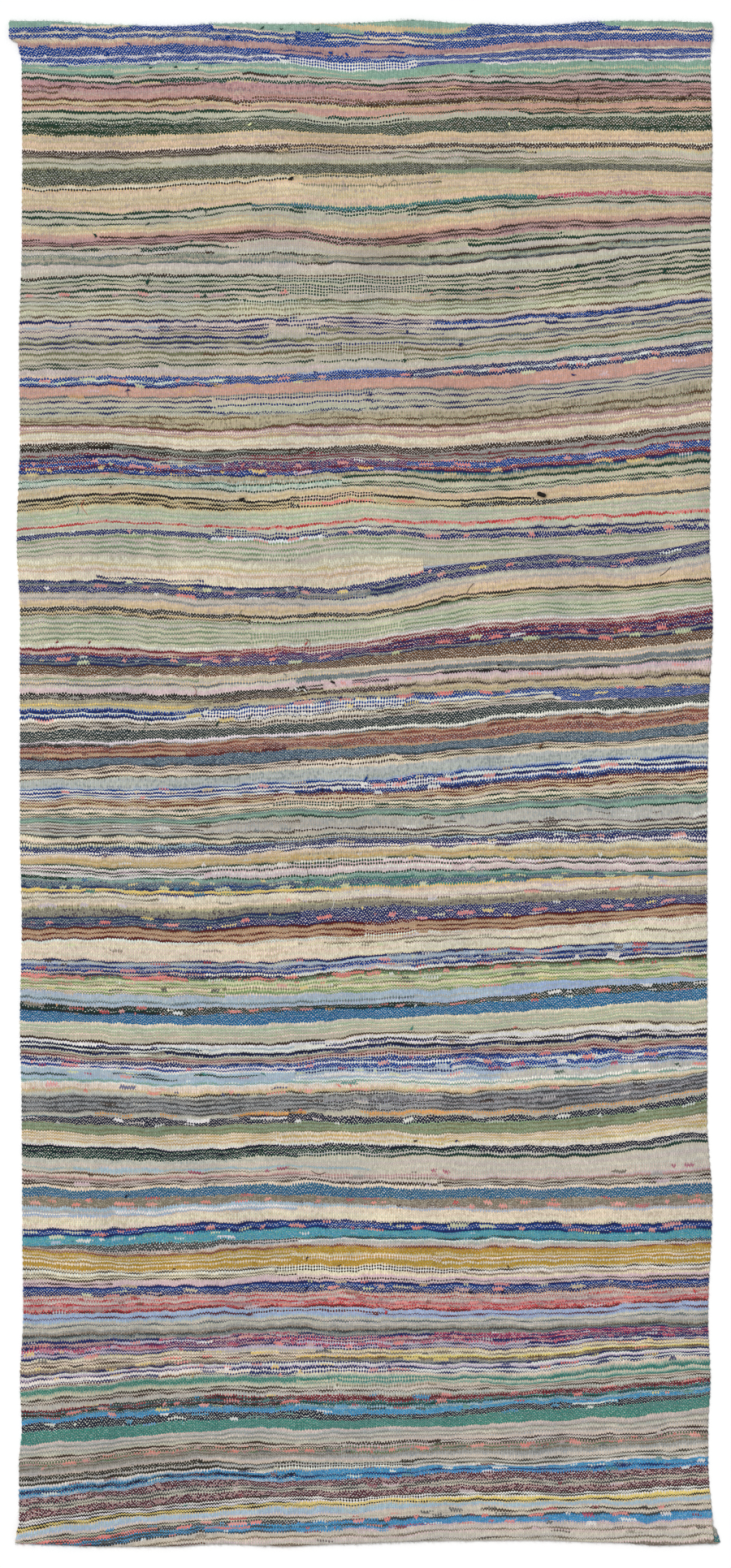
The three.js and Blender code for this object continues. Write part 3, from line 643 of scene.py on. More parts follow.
def pick_downs(picks, across):
    """How far down from the top fold each pick lies at each place across, in metres."""
    known = np.array([line[0] for line in PICK_LINES], float)
    downs = np.array([line[2] for line in PICK_LINES]) * MM
    at_places = np.stack([np.interp(picks, known, downs[:, k]) for k in range(len(LINE_PLACES))], 1)
    at_places += np.minimum(picks - known[0], 0)[:, None] * PICK_PITCH
    at_places += np.maximum(picks - known[-1], 0)[:, None] * PICK_PITCH
    places = np.array(LINE_PLACES) * MM
    k = np.clip(np.searchsorted(places, across) - 1, 0, len(places) - 2)
    share = (across - places[k]) / (places[k + 1] - places[k])
    here = np.take_along_axis(at_places, k, 1)
    there = np.take_along_axis(at_places, k + 1, 1)
    before = np.take_along_axis(at_places, np.maximum(k - 1, 0), 1)
    before = np.where(k > 0, before, 2 * here - there)
    after = np.take_along_axis(at_places, np.minimum(k + 2, len(places) - 1), 1)
    after = np.where(k + 2 < len(places), after, 2 * there - here)
    curve = curve_between(before, here, there, after, share)
    straight = here + (there - here) * share
    return np.where((share < 0) | (share > 1), straight, curve)


def sway_of_picks(picks, across):
    """How far the beaten-down picks wander from their lines, in metres. Neighbours wander together."""
    luck = random.Random(31)
    sway = np.zeros(across.shape)
    for long in (115, 150, 190, 240, 310, 400):
        for _ in range(2):
            turn = luck.uniform(0, math.tau)
            tall = luck.uniform(24, 60) * luck.choice((-1, 1))
            angle = math.tau * (across / (long * MM) + picks[:, None] / tall) + turn
            sway += SWAY * np.sin(angle)
    return sway


def swell_height(x, y):
    """Height of the underside over the floor, away from the hems."""
    height = np.zeros_like(x)
    for swell in SWELLS:
        start = np.array([swell["x1"], swell["y1"]]) * MM
        along = np.array([swell["x2"], swell["y2"]]) * MM - start
        share = ((x - start[0]) * along[0] + (y - start[1]) * along[1]) / along.dot(along)
        share = np.clip(share, 0, 1)
        off = np.hypot(x - start[0] - along[0] * share, y - start[1] - along[1] * share)
        off = np.clip(off / (swell["half"] * MM), 0, 1)
        height = np.maximum(height, swell["high"] * MM * (1 - off * off) ** 2)
    return height


def selvedge(side, down):
    """Where a selvedge lies in x."""
    straight = {"left": -WIDTH / 2, "right": WIDTH / 2}[side]
    return straight + eased(SELVEDGES, "down", down, side)


def ear(side, down, turned):
    """How far a corner stands out past its selvedge. Turned is 1 in the face and 0 in the layer under it."""
    stands_out = np.zeros_like(down)
    for end, inward in (("top", down), ("bottom", LENGTH - down)):
        reach = EARS[end][side]
        narrows = 1 - EAR_NARROWS[end] * inward / EAR_END
        reach = (reach["under"] + (reach["face"] - reach["under"]) * turned) * narrows * MM
        stands_out += reach * (1 - smooth_step(inward, EAR_START, EAR_END))
    return stands_out


def lay_out(picks, shares):
    """Middle points of the sheet, one row for each pick and one column for each share across. The second
    round places the picks where the first found that the selvedges lie."""
    across = np.repeat(shares[None, :], len(picks), 0) * WIDTH
    for _ in range(2):
        down = pick_downs(picks, across) + sway_of_picks(picks, across)
        top = LENGTH / 2 + eased(FOLDS, "across", across, "top")
        bottom = -LENGTH / 2 + eased(FOLDS, "across", across, "bottom")
        y = LENGTH / 2 - down
        z = np.zeros_like(y)
        turned = np.ones_like(y)
        flat = np.ones_like(y)
        for fold, outward, last in ((top, 1, 0), (bottom, -1, -1)):
            inward = (fold - y) * outward
            over = np.maximum(FOLD_CENTRE_IN - inward, 0)
            over = over * (TURNED_UNDER / over[last])
            angle = math.pi / 2 - np.minimum(over, FOLD_TURN) / FOLD_RADIUS
            centre = fold - outward * FOLD_CENTRE_IN
            round_y = centre + outward * FOLD_RADIUS * np.cos(angle)
            under_y = centre - outward * (over - FOLD_TURN)
            y = np.where(over > FOLD_TURN, under_y, np.where(over > 0, round_y, y))
            hem_z = HALF + FOLD_RADIUS * (1 + np.sin(angle))
            ramp = smooth_step(inward, RAMP_START, RAMP_END)
            z = z + np.where(over > 0, hem_z, 0)
            turned = np.minimum(turned, angle / math.pi + 0.5)
            flat = np.minimum(flat, np.where(over > 0, -1, ramp))
        down = LENGTH / 2 - y
        left = selvedge("left", down)
        x = left + (selvedge("right", down) - left) * shares[None, :]
        x -= ear("left", down, turned) * (1 - smooth_step(shares, 0, EAR_WIDE))[None, :]
        x += ear("right", down, turned) * (1 - smooth_step(1 - shares, 0, EAR_WIDE))[None, :]
        across = x + WIDTH / 2
    face_z = HALF + HEM_LIFT + (swell_height(x, y) - HEM_LIFT) * np.maximum(flat, 0)
    return np.stack([x, y, np.where(flat < 0, z, face_z)], 2)


def skin(middle, side):
    """The middle surface moved to one side by half the thickness, a little thinner at the selvedges."""
    run = np.empty_like(middle)
    run[1:-1] = middle[2:] - middle[:-2]
    run[0] = middle[1] - middle[0]
    run[-1] = middle[-1] - middle[-2]
    size = np.hypot(run[..., 1], run[..., 2])
    normal = np.stack([np.zeros_like(size), run[..., 2] / size, -run[..., 1] / size], 2)
    thick = np.full(middle.shape[1], HALF)
    thick[[0, -1]] = HALF * SELVEDGE_THINNING
    return middle + normal * side * thick[None, :, None]


def new_piece(name, points, faces):
    """A new object with smooth faces."""
    made = bpy.data.meshes.new(name)
    made.from_pydata(points, [], faces)
    for polygon in made.polygons:
        polygon.use_smooth = True
    piece = bpy.data.objects.new(name, made)
    bpy.context.scene.collection.objects.link(piece)
    return piece


rng = random.Random(7)
picks = [float(p) for p in range(FIRST_PICK, LAST_PICK + 1)]
picks += [p + 0.5 for low, high in FOLD_PICKS for p in range(low, high)]
picks = np.array(sorted(picks))
rows = len(picks)
even_shares = np.linspace(0, 1, FACE_COLUMNS - 1)
rim_share = RIM_IN / WIDTH
face_shares = np.array([0, rim_share, *even_shares[1:-1], 1 - rim_share, 1])
back_shares = np.array([0, rim_share, *even_shares[2:-2:2], 1 - rim_share, 1])
face_middle = lay_out(picks, face_shares)
back_middle = lay_out(picks, back_shares)

# A pick turns back at each selvedge, where two picks make a small loop that stands out.
turns = [SCALLOP * (1 if int(p) % 4 < 2 else -1) + rng.uniform(-SCALLOP_LUCK, SCALLOP_LUCK) for p in picks]
for middle in (face_middle, back_middle):
    middle[:, 0, 0] -= turns
    middle[:, -1, 0] += turns
face_skin = skin(face_middle, 1)
back_skin = skin(back_middle, -1)
rims = [face_middle[:, 0].copy(), face_middle[:, -1].copy()]
rims[0][:, 0] -= RIM_STANDS_OUT
rims[1][:, 0] += RIM_STANDS_OUT

# Points go face, back, left rim, right rim, with rows from the top fold down and columns from the left.
points = np.concatenate([face_skin.reshape(-1, 3), back_skin.reshape(-1, 3), *rims])
middle_of_box = (points.min(0) + points.max(0)) / 2
shift = np.array([middle_of_box[0], middle_of_box[1], points[:, 2].min()])
points -= shift
face_count = len(face_shares)
back_count = len(back_shares)
back_start = rows * face_count
rim_starts = [back_start + rows * back_count, back_start + rows * (back_count + 1)]
point_share = np.concatenate(
    [np.tile(face_shares, rows), np.tile(back_shares, rows), np.zeros(rows), np.ones(rows)]
)
point_pick = np.concatenate(
    [np.repeat(picks, face_count), np.repeat(picks, back_count), picks, picks]
)

# Faces go row by row, each with the row and columns of the cell that it shows: the face, the back, and two
# at each rim. The last two close the cut ends inside the hems.
faces = []
face_cells = []
for i in range(rows - 1):
    v = math.floor(picks[i])
    for j in range(face_count - 1):
        a = i * face_count + j
        faces.append((a, a + face_count, a + face_count + 1, a + 1))
        face_cells.append((v, face_shares[j], face_shares[j + 1]))
    for j in range(back_count - 1):
        a = back_start + i * back_count + j
        faces.append((a, a + 1, a + back_count + 1, a + back_count))
        face_cells.append((v, back_shares[j], back_shares[j + 1]))
    for side, rim in enumerate(rim_starts):
        f = i * face_count + (face_count - 1) * side
        b = back_start + i * back_count + (back_count - 1) * side
        top = [f, rim + i, rim + i + 1, f + face_count]
        low = [rim + i, b, b + back_count, rim + i + 1]
        if side:
            top.reverse()
            low.reverse()
        faces += [tuple(top), tuple(low)]
        face_cells += [(v, side, side)] * 2
for i in (0, rows - 1):
    front = [i * face_count + j for j in range(face_count)]
    behind = [back_start + i * back_count + j for j in range(back_count)]
    ends = [[rim_starts[0] + i], [rim_starts[1] + i]]
    loop = front + ends[1] + behind[::-1] + ends[0]
    if i:
        loop.reverse()
    faces.append(tuple(loop))
    face_cells.append((math.floor(picks[min(i, rows - 2)]), 0, 1))

kilim = new_piece("kilim", points.tolist(), faces)
mesh = kilim.data


def spans(run):
    """Start, end and yarn of each stretch of a pick, which is held as a list of (end, yarn)."""
    starts = [0] + [end for end, _ in run]
    return [(start, end, yarn) for start, (end, yarn) in zip(starts, run)]


def spliced(run, patch, left, right):
    """A pick's yarns with another pick's between two places."""
    parts = [(min(end, left), yarn) for start, end, yarn in spans(run) if start < left]
    parts += [(min(end, right), yarn) for start, end, yarn in spans(patch) if start < right and end > left]
    return parts + [(end, yarn) for start, end, yarn in spans(run) if end > right]


# Every pick as it is woven: the draft's stretches of yarn, with the picks exchanged where the weavers met.
FULL_CM = round(WIDTH / (10 * MM))
MEETING_WANDERS = 1.2
draft = {}
for entry in DRAFT.replace("\n", ";").split(";"):
    words = entry.split()
    if words:
        ends = [float(word) for word in words[2::2]] + [FULL_CM]
        draft[int(words[0])] = list(zip(ends, words[1::2]))
starts = sorted(draft)
plain = {}
for pick in range(FIRST_PICK - 4, LAST_PICK + 5):
    below = [start for start in starts if start <= pick]
    plain[pick] = draft[below[-1] if below else starts[0]]
woven = dict(plain)
for first, last, left, right in ZONES:
    for pick in range(first, last + 1):
        partner = {1: pick + 1, 2: pick - 1}.get(pick % 4, pick)
        if first <= partner <= last:
            wander = rng.uniform(-MEETING_WANDERS, MEETING_WANDERS)
            woven[pick] = spliced(woven[pick], plain[partner], left + wander, right + wander)

# Flecks are one or two picks tall, a few warps wide and more or less faded.
EDGE_CM = 1
TWO_TALL_SHARE = 0.35
HALF_ONE_TALL, HALF_TWO_TALL = 0.45, 0.8
NARROW_WARPS, WIDE_WARPS = 1.5, 8
FLECK_WANDERS = 0.4
MOST_FADED, FADED_TO = 0.35, 205
NOWHERE = -100
flecks = []
for pick, yarn, places in FLECKS:
    flecks += [(pick, True, yarn, at) for at in places]
for first, last, count, choices in SPECKLED:
    for _ in range(count):
        yarn = rng.choice(choices.split())
        pick = rng.randint(first, last)
        two_tall = rng.random() < TWO_TALL_SHARE
        flecks.append((pick, two_tall, yarn, rng.uniform(EDGE_CM, FULL_CM - EDGE_CM)))
fleck_cells = {}
for pick, two_tall, yarn, at in flecks:
    half_tall = HALF_TWO_TALL if two_tall else HALF_ONE_TALL
    half_wide = rng.uniform(NARROW_WARPS, WIDE_WARPS)
    at_warp = (at + rng.uniform(-FLECK_WANDERS, FLECK_WANDERS)) / FULL_CM * WARPS
    faded = rng.uniform(0, MOST_FADED)
    colour = tuple(own * (1 - faded) + FADED_TO * faded for own in YARNS[yarn][0])
    held_fleck = (colour, at_warp, half_wide, pick + 0.5 * two_tall, half_tall)
    for row in range(pick - 1, pick + 4):
        fleck_cells.setdefault(row, []).append(held_fleck)


def fleck(v, start, end):
    """A cell's fleck: its colour, middle warp, half width in warps, middle pick and half height in picks."""
    for held_fleck in fleck_cells.get(v, []):
        at_warp, half_wide = held_fleck[1:3]
        if start * WARPS - half_wide < at_warp < end * WARPS + half_wide:
            return held_fleck
    return (0, 0, 0), NOWHERE, 1, NOWHERE, 1


def yarn_at(pick, across):
    """The name of the yarn of a pick at a share of the way across."""
    return next(yarn for stop, yarn in woven[pick] if stop > across * FULL_CM or stop == FULL_CM)


@functools.cache
def stripe(pick, across):
    """The first and last pick of the stripe that a pick lies in there."""
    first = last = pick
    while first - 1 in woven and yarn_at(first - 1, across) == yarn_at(pick, across):
        first -= 1
    while last + 1 in woven and yarn_at(last + 1, across) == yarn_at(pick, across):
        last += 1
    return first, last


def paleness(pick, across):
    """How pale a pick is there, from 0 to 255."""
    return sum(YARNS[yarn_at(pick, across)][0]) / 3


@functools.cache
def is_line(pick, across, pale_too=True):
    """Whether a pick there belongs to a thin line of one or two picks, away from where the weavers met. It
    is one where it is darker than both stripes beside it, or paler and these are no lines themselves."""
    first, last = stripe(pick, across)
    met = any(start <= pick <= end and left < across * FULL_CM < right for start, end, left, right in ZONES)
    if met or last - first > 1 or first - 1 not in woven or last + 1 not in woven:
        return False
    beside = [paleness(first - 1, across), paleness(last + 1, across)]
    if paleness(pick, across) < min(beside):
        return True
    if not pale_too or paleness(pick, across) <= max(beside):
        return False
    return not is_line(first - 1, across, False) and not is_line(last + 1, across, False)


# A change of yarn nearer than this to a cell's side, in centimetres, is moved to the side.
AT_SIDE = 0.3


def cell(pick, start, end):
    """The yarn at a cell's left, the one at its right and the warp where they meet. A heathered cell has
    its second yarn as the one at the right, and minus the share of it in place of the warp."""
    start, end = start * FULL_CM, end * FULL_CM
    run = woven[pick]
    first = next(yarn for stop, yarn in run if stop > start + 0.01 or stop == FULL_CM)
    changes = [(stop, i) for i, (stop, _) in enumerate(run[:-1]) if start + AT_SIDE < stop < end - AT_SIDE]
    if changes:
        stop, i = changes[0]
        second = run[i + 1][1]
        return YARNS[first][0], YARNS[second][0], stop / FULL_CM * WARPS
    if len(YARNS[first]) == 3:
        own, heather, share = YARNS[first]
        return own, heather, -share
    own = YARNS[first][0]
    return own, own, WARPS * 2


def linear(seen):
    """Colours as they are seen, from 0 to 255, as the linear values of a colour attribute."""
    seen = np.array(seen, float) / 255
    light = np.where(seen > 0.04045, ((seen + 0.055) / 1.055) ** 2.4, seen / 12.92)
    return np.concatenate([light, np.ones((len(light), 1))], 1).astype(np.float32).ravel()


def ground(pick, start, end):
    """A cell of a pick, or of its neighbour where it is in a thin line, which is drawn apart."""
    middle = (start + end) / 2
    if is_line(pick, middle):
        first, last = stripe(pick, middle)
        pick = first - 1 if pick == first else last + 1
    return cell(pick, start, end)


# What a cell tells the material: the yarns of the even and of the odd pick that show in it, the next yarns
# beyond them, and the thin line and the fleck that cross it. A line of a cell's own picks comes before its
# neighbours' lines. A line's half height is given for one pick and for two, in picks.
LINE_TALL = {"dark": (0.4, 0.66), "pale": (0.5, 0.66)}
cells = {}
for key in set(face_cells):
    v, start, end = key
    even = 2 * (v // 2)
    odd = 2 * ((v + 1) // 2) - 1
    even_near = ground(even + (2 if v > even else -2), start, end)[0]
    odd_near = ground(odd + (2 if v > odd else -2), start, end)[0]
    line = ((0, 0, 0), (0, 0, 0), 0, NOWHERE, 0)
    middle = (start + end) / 2
    for pick in (v + 1, v - 2, v, v - 1):
        if pick in woven and is_line(pick, middle):
            first, last = stripe(pick, middle)
            pale = paleness(first, middle) > paleness(first - 1, middle)
            tall = LINE_TALL["pale" if pale else "dark"][last - first]
            line = (*cell(first, start, end), (first + last) / 2 + 1, tall)
    grounds = (*ground(even, start, end), *ground(odd, start, end), even_near, odd_near)
    cells[key] = (*grounds, *line, *fleck(v, start, end))
cell_parts = ("even_a", "even_b", "even_join", "odd_a", "odd_b", "odd_join", "even_near", "odd_near")
cell_parts += ("line_a", "line_b", "line_join", "line_at", "line_tall")
cell_parts += ("fleck", "fleck_at", "fleck_wide", "fleck_pick_at", "fleck_tall")
for column, name in enumerate(cell_parts):
    values = [cells[key][column] for key in face_cells]
    if name.endswith(("join", "at", "wide", "tall")):
        attribute = mesh.attributes.new(name, "FLOAT", "FACE")
        attribute.data.foreach_set("value", np.array(values, np.float32))
    else:
        attribute = mesh.attributes.new(name, "FLOAT_COLOR", "FACE")
        attribute.data.foreach_set("color", linear(values))

# Stains and faded patches, across and wide in centimetres, tall in picks. Faded patches have brown below 0.
STAIN_FADES_OUT = 1.3
STAINS = [
    {"across": 66, "pick": 92, "wide": 13, "tall": 24, "brown": 0.5},
    {"across": 80, "pick": 155, "wide": 12, "tall": 26, "brown": 0.55},
    {"across": 49, "pick": 80, "wide": 8, "tall": 26, "brown": -0.4},
    {"across": 58, "pick": 118, "wide": 7, "tall": 14, "brown": -0.6},
    {"across": 98, "pick": 255, "wide": 16, "tall": 30, "brown": 0.3},
    {"across": 30, "pick": 320, "wide": 22, "tall": 16, "brown": 0.2},
    {"across": 62, "pick": 372, "wide": 10, "tall": 12, "brown": 0.35},
    {"across": 118, "pick": 45, "wide": 16, "tall": 26, "brown": 0.3},
    {"across": 66, "pick": 550, "wide": 30, "tall": 30, "brown": 0.3},
    {"across": 120, "pick": 712, "wide": 20, "tall": 10, "brown": -0.5},
    {"across": 22, "pick": 925, "wide": 26, "tall": 12, "brown": 0.4},
    {"across": 25, "pick": 975, "wide": 30, "tall": 26, "brown": 0.35},
]
haze = np.zeros(len(point_share))
for stain in STAINS:
    off_across = (point_share * FULL_CM - stain["across"]) / stain["wide"]
    off_along = (point_pick - stain["pick"]) / stain["tall"]
    near = 1 - np.hypot(off_across, off_along) / STAIN_FADES_OUT
    haze += stain["brown"] * smooth_step(near, 0, 1)
held_haze = mesh.attributes.new("haze", "FLOAT", "POINT")
held_haze.data.foreach_set("value", haze.astype(np.float32))

# Two maps: one counts warps, which wander a little from side to side, and picks, and one lays the length
# in two columns for the baked finish. Waves in the warps: reach, turn for each warp and pick, and start.
WARP_WAVES = [(0.6, 0.11, 0.05, 1.3), (0.4, 0.19, -0.13, 4.1), (0.3, 0.05, 0.21, 2.2)]
corners = np.empty(len(mesh.loops), np.int32)
mesh.loops.foreach_get("vertex_index", corners)
weave_map = mesh.uv_layers.new(name="weave")
warps_there = point_share * WARPS
for reach, for_warp, for_pick, begins in WARP_WAVES:
    angle = for_warp * warps_there + for_pick * point_pick + begins
    warps_there = warps_there + reach * np.sin(angle)
weave_map.data.foreach_set(
    "uv", np.stack([warps_there[corners], point_pick[corners]], 1).astype(np.float32).ravel()
)
HALF_WAY = (FIRST_PICK + LAST_PICK) // 2
SPARE = 0.004
loop_totals = np.array([polygon.loop_total for polygon in mesh.polygons])
face_v = np.repeat([key[0] for key in face_cells], loop_totals)
lower_half = face_v >= HALF_WAY
run_length = HALF_WAY - FIRST_PICK + 1
bake_x = SPARE + point_share[corners] * (0.5 - 2 * SPARE) + 0.5 * lower_half
bake_y = (point_pick[corners] - np.where(lower_half, HALF_WAY, FIRST_PICK)) / run_length
bake_y = 1 - SPARE - bake_y * (1 - 2 * SPARE)
bake_map = mesh.uv_layers.new(name="OFBake")
bake_map.data.foreach_set("uv", np.stack([bake_x, bake_y], 1).astype(np.float32).ravel())
mesh.uv_layers.active = bake_map
bake_map.active_render = True


def put(tree, kind, inputs=None, **settings):
    """A shader node with its settings. Inputs take sockets or plain values."""
    made = tree.nodes.new(kind)
    for name, value in settings.items():
        setattr(made, name, value)
    for key, value in (inputs or {}).items():
        if isinstance(value, bpy.types.NodeSocket):
            tree.links.new(value, made.inputs[key])
        else:
            made.inputs[key].default_value = value
    return made


def sums(tree, operation, *values):
    """One step of arithmetic on sockets or numbers."""
    return put(tree, "ShaderNodeMath", dict(enumerate(values)), operation=operation).outputs[0]


def ranged(tree, share, low, high):
    """Low where share is 0 and high where it is 1, in a straight line."""
    return sums(tree, "MULTIPLY_ADD", share, high - low, low)


def blended(tree, share, first, last, kind="RGBA"):
    """First where share is 0 and last where it is 1, for colours or plain values. The node has sockets of
    the same names for every kind of value, so they are taken by number."""
    spot = {"RGBA": (6, 7, 2), "FLOAT": (2, 3, 0)}[kind]
    inputs = {0: share, spot[0]: first, spot[1]: last}
    return put(tree, "ShaderNodeMix", inputs, data_type=kind).outputs[spot[2]]


def stepped(tree, value, low, high):
    """0 below low, 1 above high and smooth between them."""
    inputs = {"Value": value, "From Min": low, "From Max": high}
    return put(tree, "ShaderNodeMapRange", inputs, interpolation_type="SMOOTHSTEP").outputs["Result"]


def white(tree, *values):
    """White noise at up to three values."""
    spot = put(tree, "ShaderNodeCombineXYZ", dict(enumerate(values)))
    return put(tree, "ShaderNodeTexWhiteNoise", {"Vector": spot.outputs[0]})


def smooth(tree, *values, detail=1.0):
    """Smooth noise at up to three values, spread to run from 0 to 1."""
    spot = put(tree, "ShaderNodeCombineXYZ", dict(enumerate(values)))
    noise = put(tree, "ShaderNodeTexNoise", {"Vector": spot.outputs[0], "Scale": 1.0, "Detail": detail})
    spread = {"Value": noise.outputs["Fac"], "From Min": 0.28, "From Max": 0.72}
    return put(tree, "ShaderNodeMapRange", spread).outputs[0]


def matt_yarn(name):
    """A new material of matt yarn, with its node tree and its shader."""
    made = bpy.data.materials.new(name)
    made.use_nodes = True
    shader = made.node_tree.nodes["Principled BSDF"]
    shader.inputs["Roughness"].default_value = 0.95
    shader.inputs["Specular IOR Level"].default_value = 0.15
    return made, made.node_tree, shader


def dress(tree, shader, colour, height):
    """Gives a shader its colour and a shallow relief."""
    tree.links.new(colour, shader.inputs["Base Color"])
    relief = put(tree, "ShaderNodeBump", {"Strength": 0.5, "Distance": 0.3 * MM, "Height": height})
    tree.links.new(relief.outputs[0], shader.inputs["Normal"])


WARP_COTTON = (0.92, 0.9, 0.85, 1)
cloth_look, tree, shader = matt_yarn("woven_cloth")
shader.inputs["Sheen Weight"].default_value = 0.12
shader.inputs["Sheen Roughness"].default_value = 0.6

# The picks wander a little up and down, so the weave counts them along a wandering v. A float is two picks
# tall, neighbouring warps alternate, and each float bulges over its neighbours at its middle.
PICKS_WANDER = 0.65
BULGES = (0.12, 0.42)
place = put(tree, "ShaderNodeSeparateXYZ", {0: put(tree, "ShaderNodeUVMap", uv_map="weave").outputs[0]})
u, straight_v = place.outputs["X"], place.outputs["Y"]
wave = smooth(tree, sums(tree, "MULTIPLY", u, 0.11), sums(tree, "MULTIPLY", straight_v, 0.07))
v = sums(tree, "ADD", straight_v, ranged(tree, wave, -PICKS_WANDER, PICKS_WANDER))
border = sums(tree, "ROUND", u)
side = sums(tree, "SUBTRACT", 1, sums(tree, "MULTIPLY", 2, sums(tree, "FLOORED_MODULO", border, 2)))
border_luck = white(tree, border, sums(tree, "FLOOR", v), 3.0).outputs["Value"]
bulge = ranged(tree, border_luck, *BULGES)
bulge = sums(tree, "MULTIPLY", sums(tree, "COSINE", sums(tree, "MULTIPLY", v, math.pi)), bulge)
edge_at = sums(tree, "MULTIPLY_ADD", side, bulge, border)
warp = sums(tree, "SUBTRACT", border, sums(tree, "LESS_THAN", u, edge_at))
odd = sums(tree, "FLOORED_MODULO", warp, 2)
float_number = sums(tree, "FLOOR", sums(tree, "MULTIPLY", sums(tree, "ADD", straight_v, odd), 0.5))
phase = sums(tree, "SUBTRACT", sums(tree, "MULTIPLY", sums(tree, "ADD", v, odd), 0.5), float_number)
past_end = sums(tree, "SUBTRACT", sums(tree, "GREATER_THAN", phase, 1), sums(tree, "LESS_THAN", phase, 0))
seen_float = sums(tree, "ADD", float_number, past_end)
pick_number = sums(tree, "SUBTRACT", sums(tree, "MULTIPLY", seen_float, 2), odd)
luck = white(tree, warp, pick_number).outputs["Value"]

# A face of the mesh holds the yarns of its row's picks and of the next ones beyond them. A heathered yarn
# changes colour in streaks along its pick, and a float here and there differs.
ODD_FLOATS = 0.45
held = {name: put(tree, "ShaderNodeAttribute", attribute_name=name) for name in cell_parts}
pick_streak = smooth(tree, sums(tree, "MULTIPLY", u, 0.035), sums(tree, "MULTIPLY", pick_number, 3.7))
streaky_luck = blended(tree, ODD_FLOATS, pick_streak, luck, "FLOAT")


def yarn_there(tree, kind):
    """The yarn of the even picks, the odd ones or the thin lines, at this place along them."""
    join = held[kind + "_join"].outputs["Fac"]
    is_warp = sums(tree, "GREATER_THAN", join, -0.001)
    past = sums(tree, "MULTIPLY", sums(tree, "GREATER_THAN", u, join), is_warp)
    tuft = sums(tree, "LESS_THAN", streaky_luck, sums(tree, "MULTIPLY", join, -1))
    left_yarn, right_yarn = held[kind + "_a"].outputs["Color"], held[kind + "_b"].outputs["Color"]
    return blended(tree, sums(tree, "ADD", past, tuft), left_yarn, right_yarn)


even_yarn, odd_yarn = yarn_there(tree, "even"), yarn_there(tree, "odd")
own_yarn = blended(tree, odd, even_yarn, odd_yarn)
under_yarn = blended(tree, odd, odd_yarn, even_yarn)

# A float's end runs a little over or short, where the float above or below it in its warp takes over.
RUNS_OVER = 0.17
late = sums(tree, "GREATER_THAN", phase, 0.5)
from_end = sums(tree, "SUBTRACT", 0.5, sums(tree, "ABSOLUTE", sums(tree, "SUBTRACT", phase, 0.5)))
end_luck = white(tree, warp, sums(tree, "ADD", float_number, late), odd).outputs["Value"]
runs_over = ranged(tree, end_luck, -RUNS_OVER, RUNS_OVER)
runs_over = sums(tree, "MULTIPLY", runs_over, ranged(tree, late, 1, -1))
from_end = sums(tree, "SUBTRACT", from_end, runs_over)
near_yarn = blended(tree, odd, held["even_near"].outputs["Color"], held["odd_near"].outputs["Color"])
yarn = blended(tree, sums(tree, "LESS_THAN", from_end, 0), own_yarn, near_yarn)

# A line of one or two thin picks shows as one jagged thread, thicker and thinner along its way.
LINE_JAG = 0.32
THINNER, THICKER = -0.16, 0.26
LINE_LUCK = 0.1
line_at = held["line_at"].outputs["Fac"]
jag = ranged(tree, odd, -LINE_JAG, LINE_JAG)
from_line = sums(tree, "ABSOLUTE", sums(tree, "SUBTRACT", v, sums(tree, "ADD", line_at, jag)))
bending = sums(tree, "SINE", sums(tree, "MULTIPLY_ADD", u, 0.05, line_at))
swelling = sums(tree, "SINE", sums(tree, "MULTIPLY_ADD", u, 0.17, sums(tree, "MULTIPLY", bending, 3)))
swelling = ranged(tree, swelling, 0.5, 1)
line_half = sums(tree, "ADD", held["line_tall"].outputs["Fac"], ranged(tree, swelling, THINNER, THICKER))
line_half = sums(tree, "ADD", line_half, ranged(tree, luck, -LINE_LUCK, LINE_LUCK))
in_line = sums(tree, "SUBTRACT", line_half, from_line)
yarn = blended(tree, sums(tree, "GREATER_THAN", in_line, 0), yarn, yarn_there(tree, "line"))

# A fleck takes the floats around its middle, fewer towards its ends.
RAGGED_ENDS = (0.5, 1.2)
FLECK_COVER = 0.9
beyond = sums(tree, "SUBTRACT", sums(tree, "ADD", warp, 0.5), held["fleck_at"].outputs["Fac"])
beyond = sums(tree, "DIVIDE", sums(tree, "ABSOLUTE", beyond), held["fleck_wide"].outputs["Fac"])
above = sums(tree, "SUBTRACT", pick_number, held["fleck_pick_at"].outputs["Fac"])
above = sums(tree, "DIVIDE", sums(tree, "ABSOLUTE", above), held["fleck_tall"].outputs["Fac"])
apart = sums(tree, "ADD", sums(tree, "POWER", beyond, 2), sums(tree, "POWER", above, 4))
in_fleck = sums(tree, "LESS_THAN", apart, ranged(tree, end_luck, *RAGGED_ENDS))
yarn = blended(tree, sums(tree, "MULTIPLY", in_fleck, FLECK_COVER), yarn, held["fleck"].outputs["Color"])
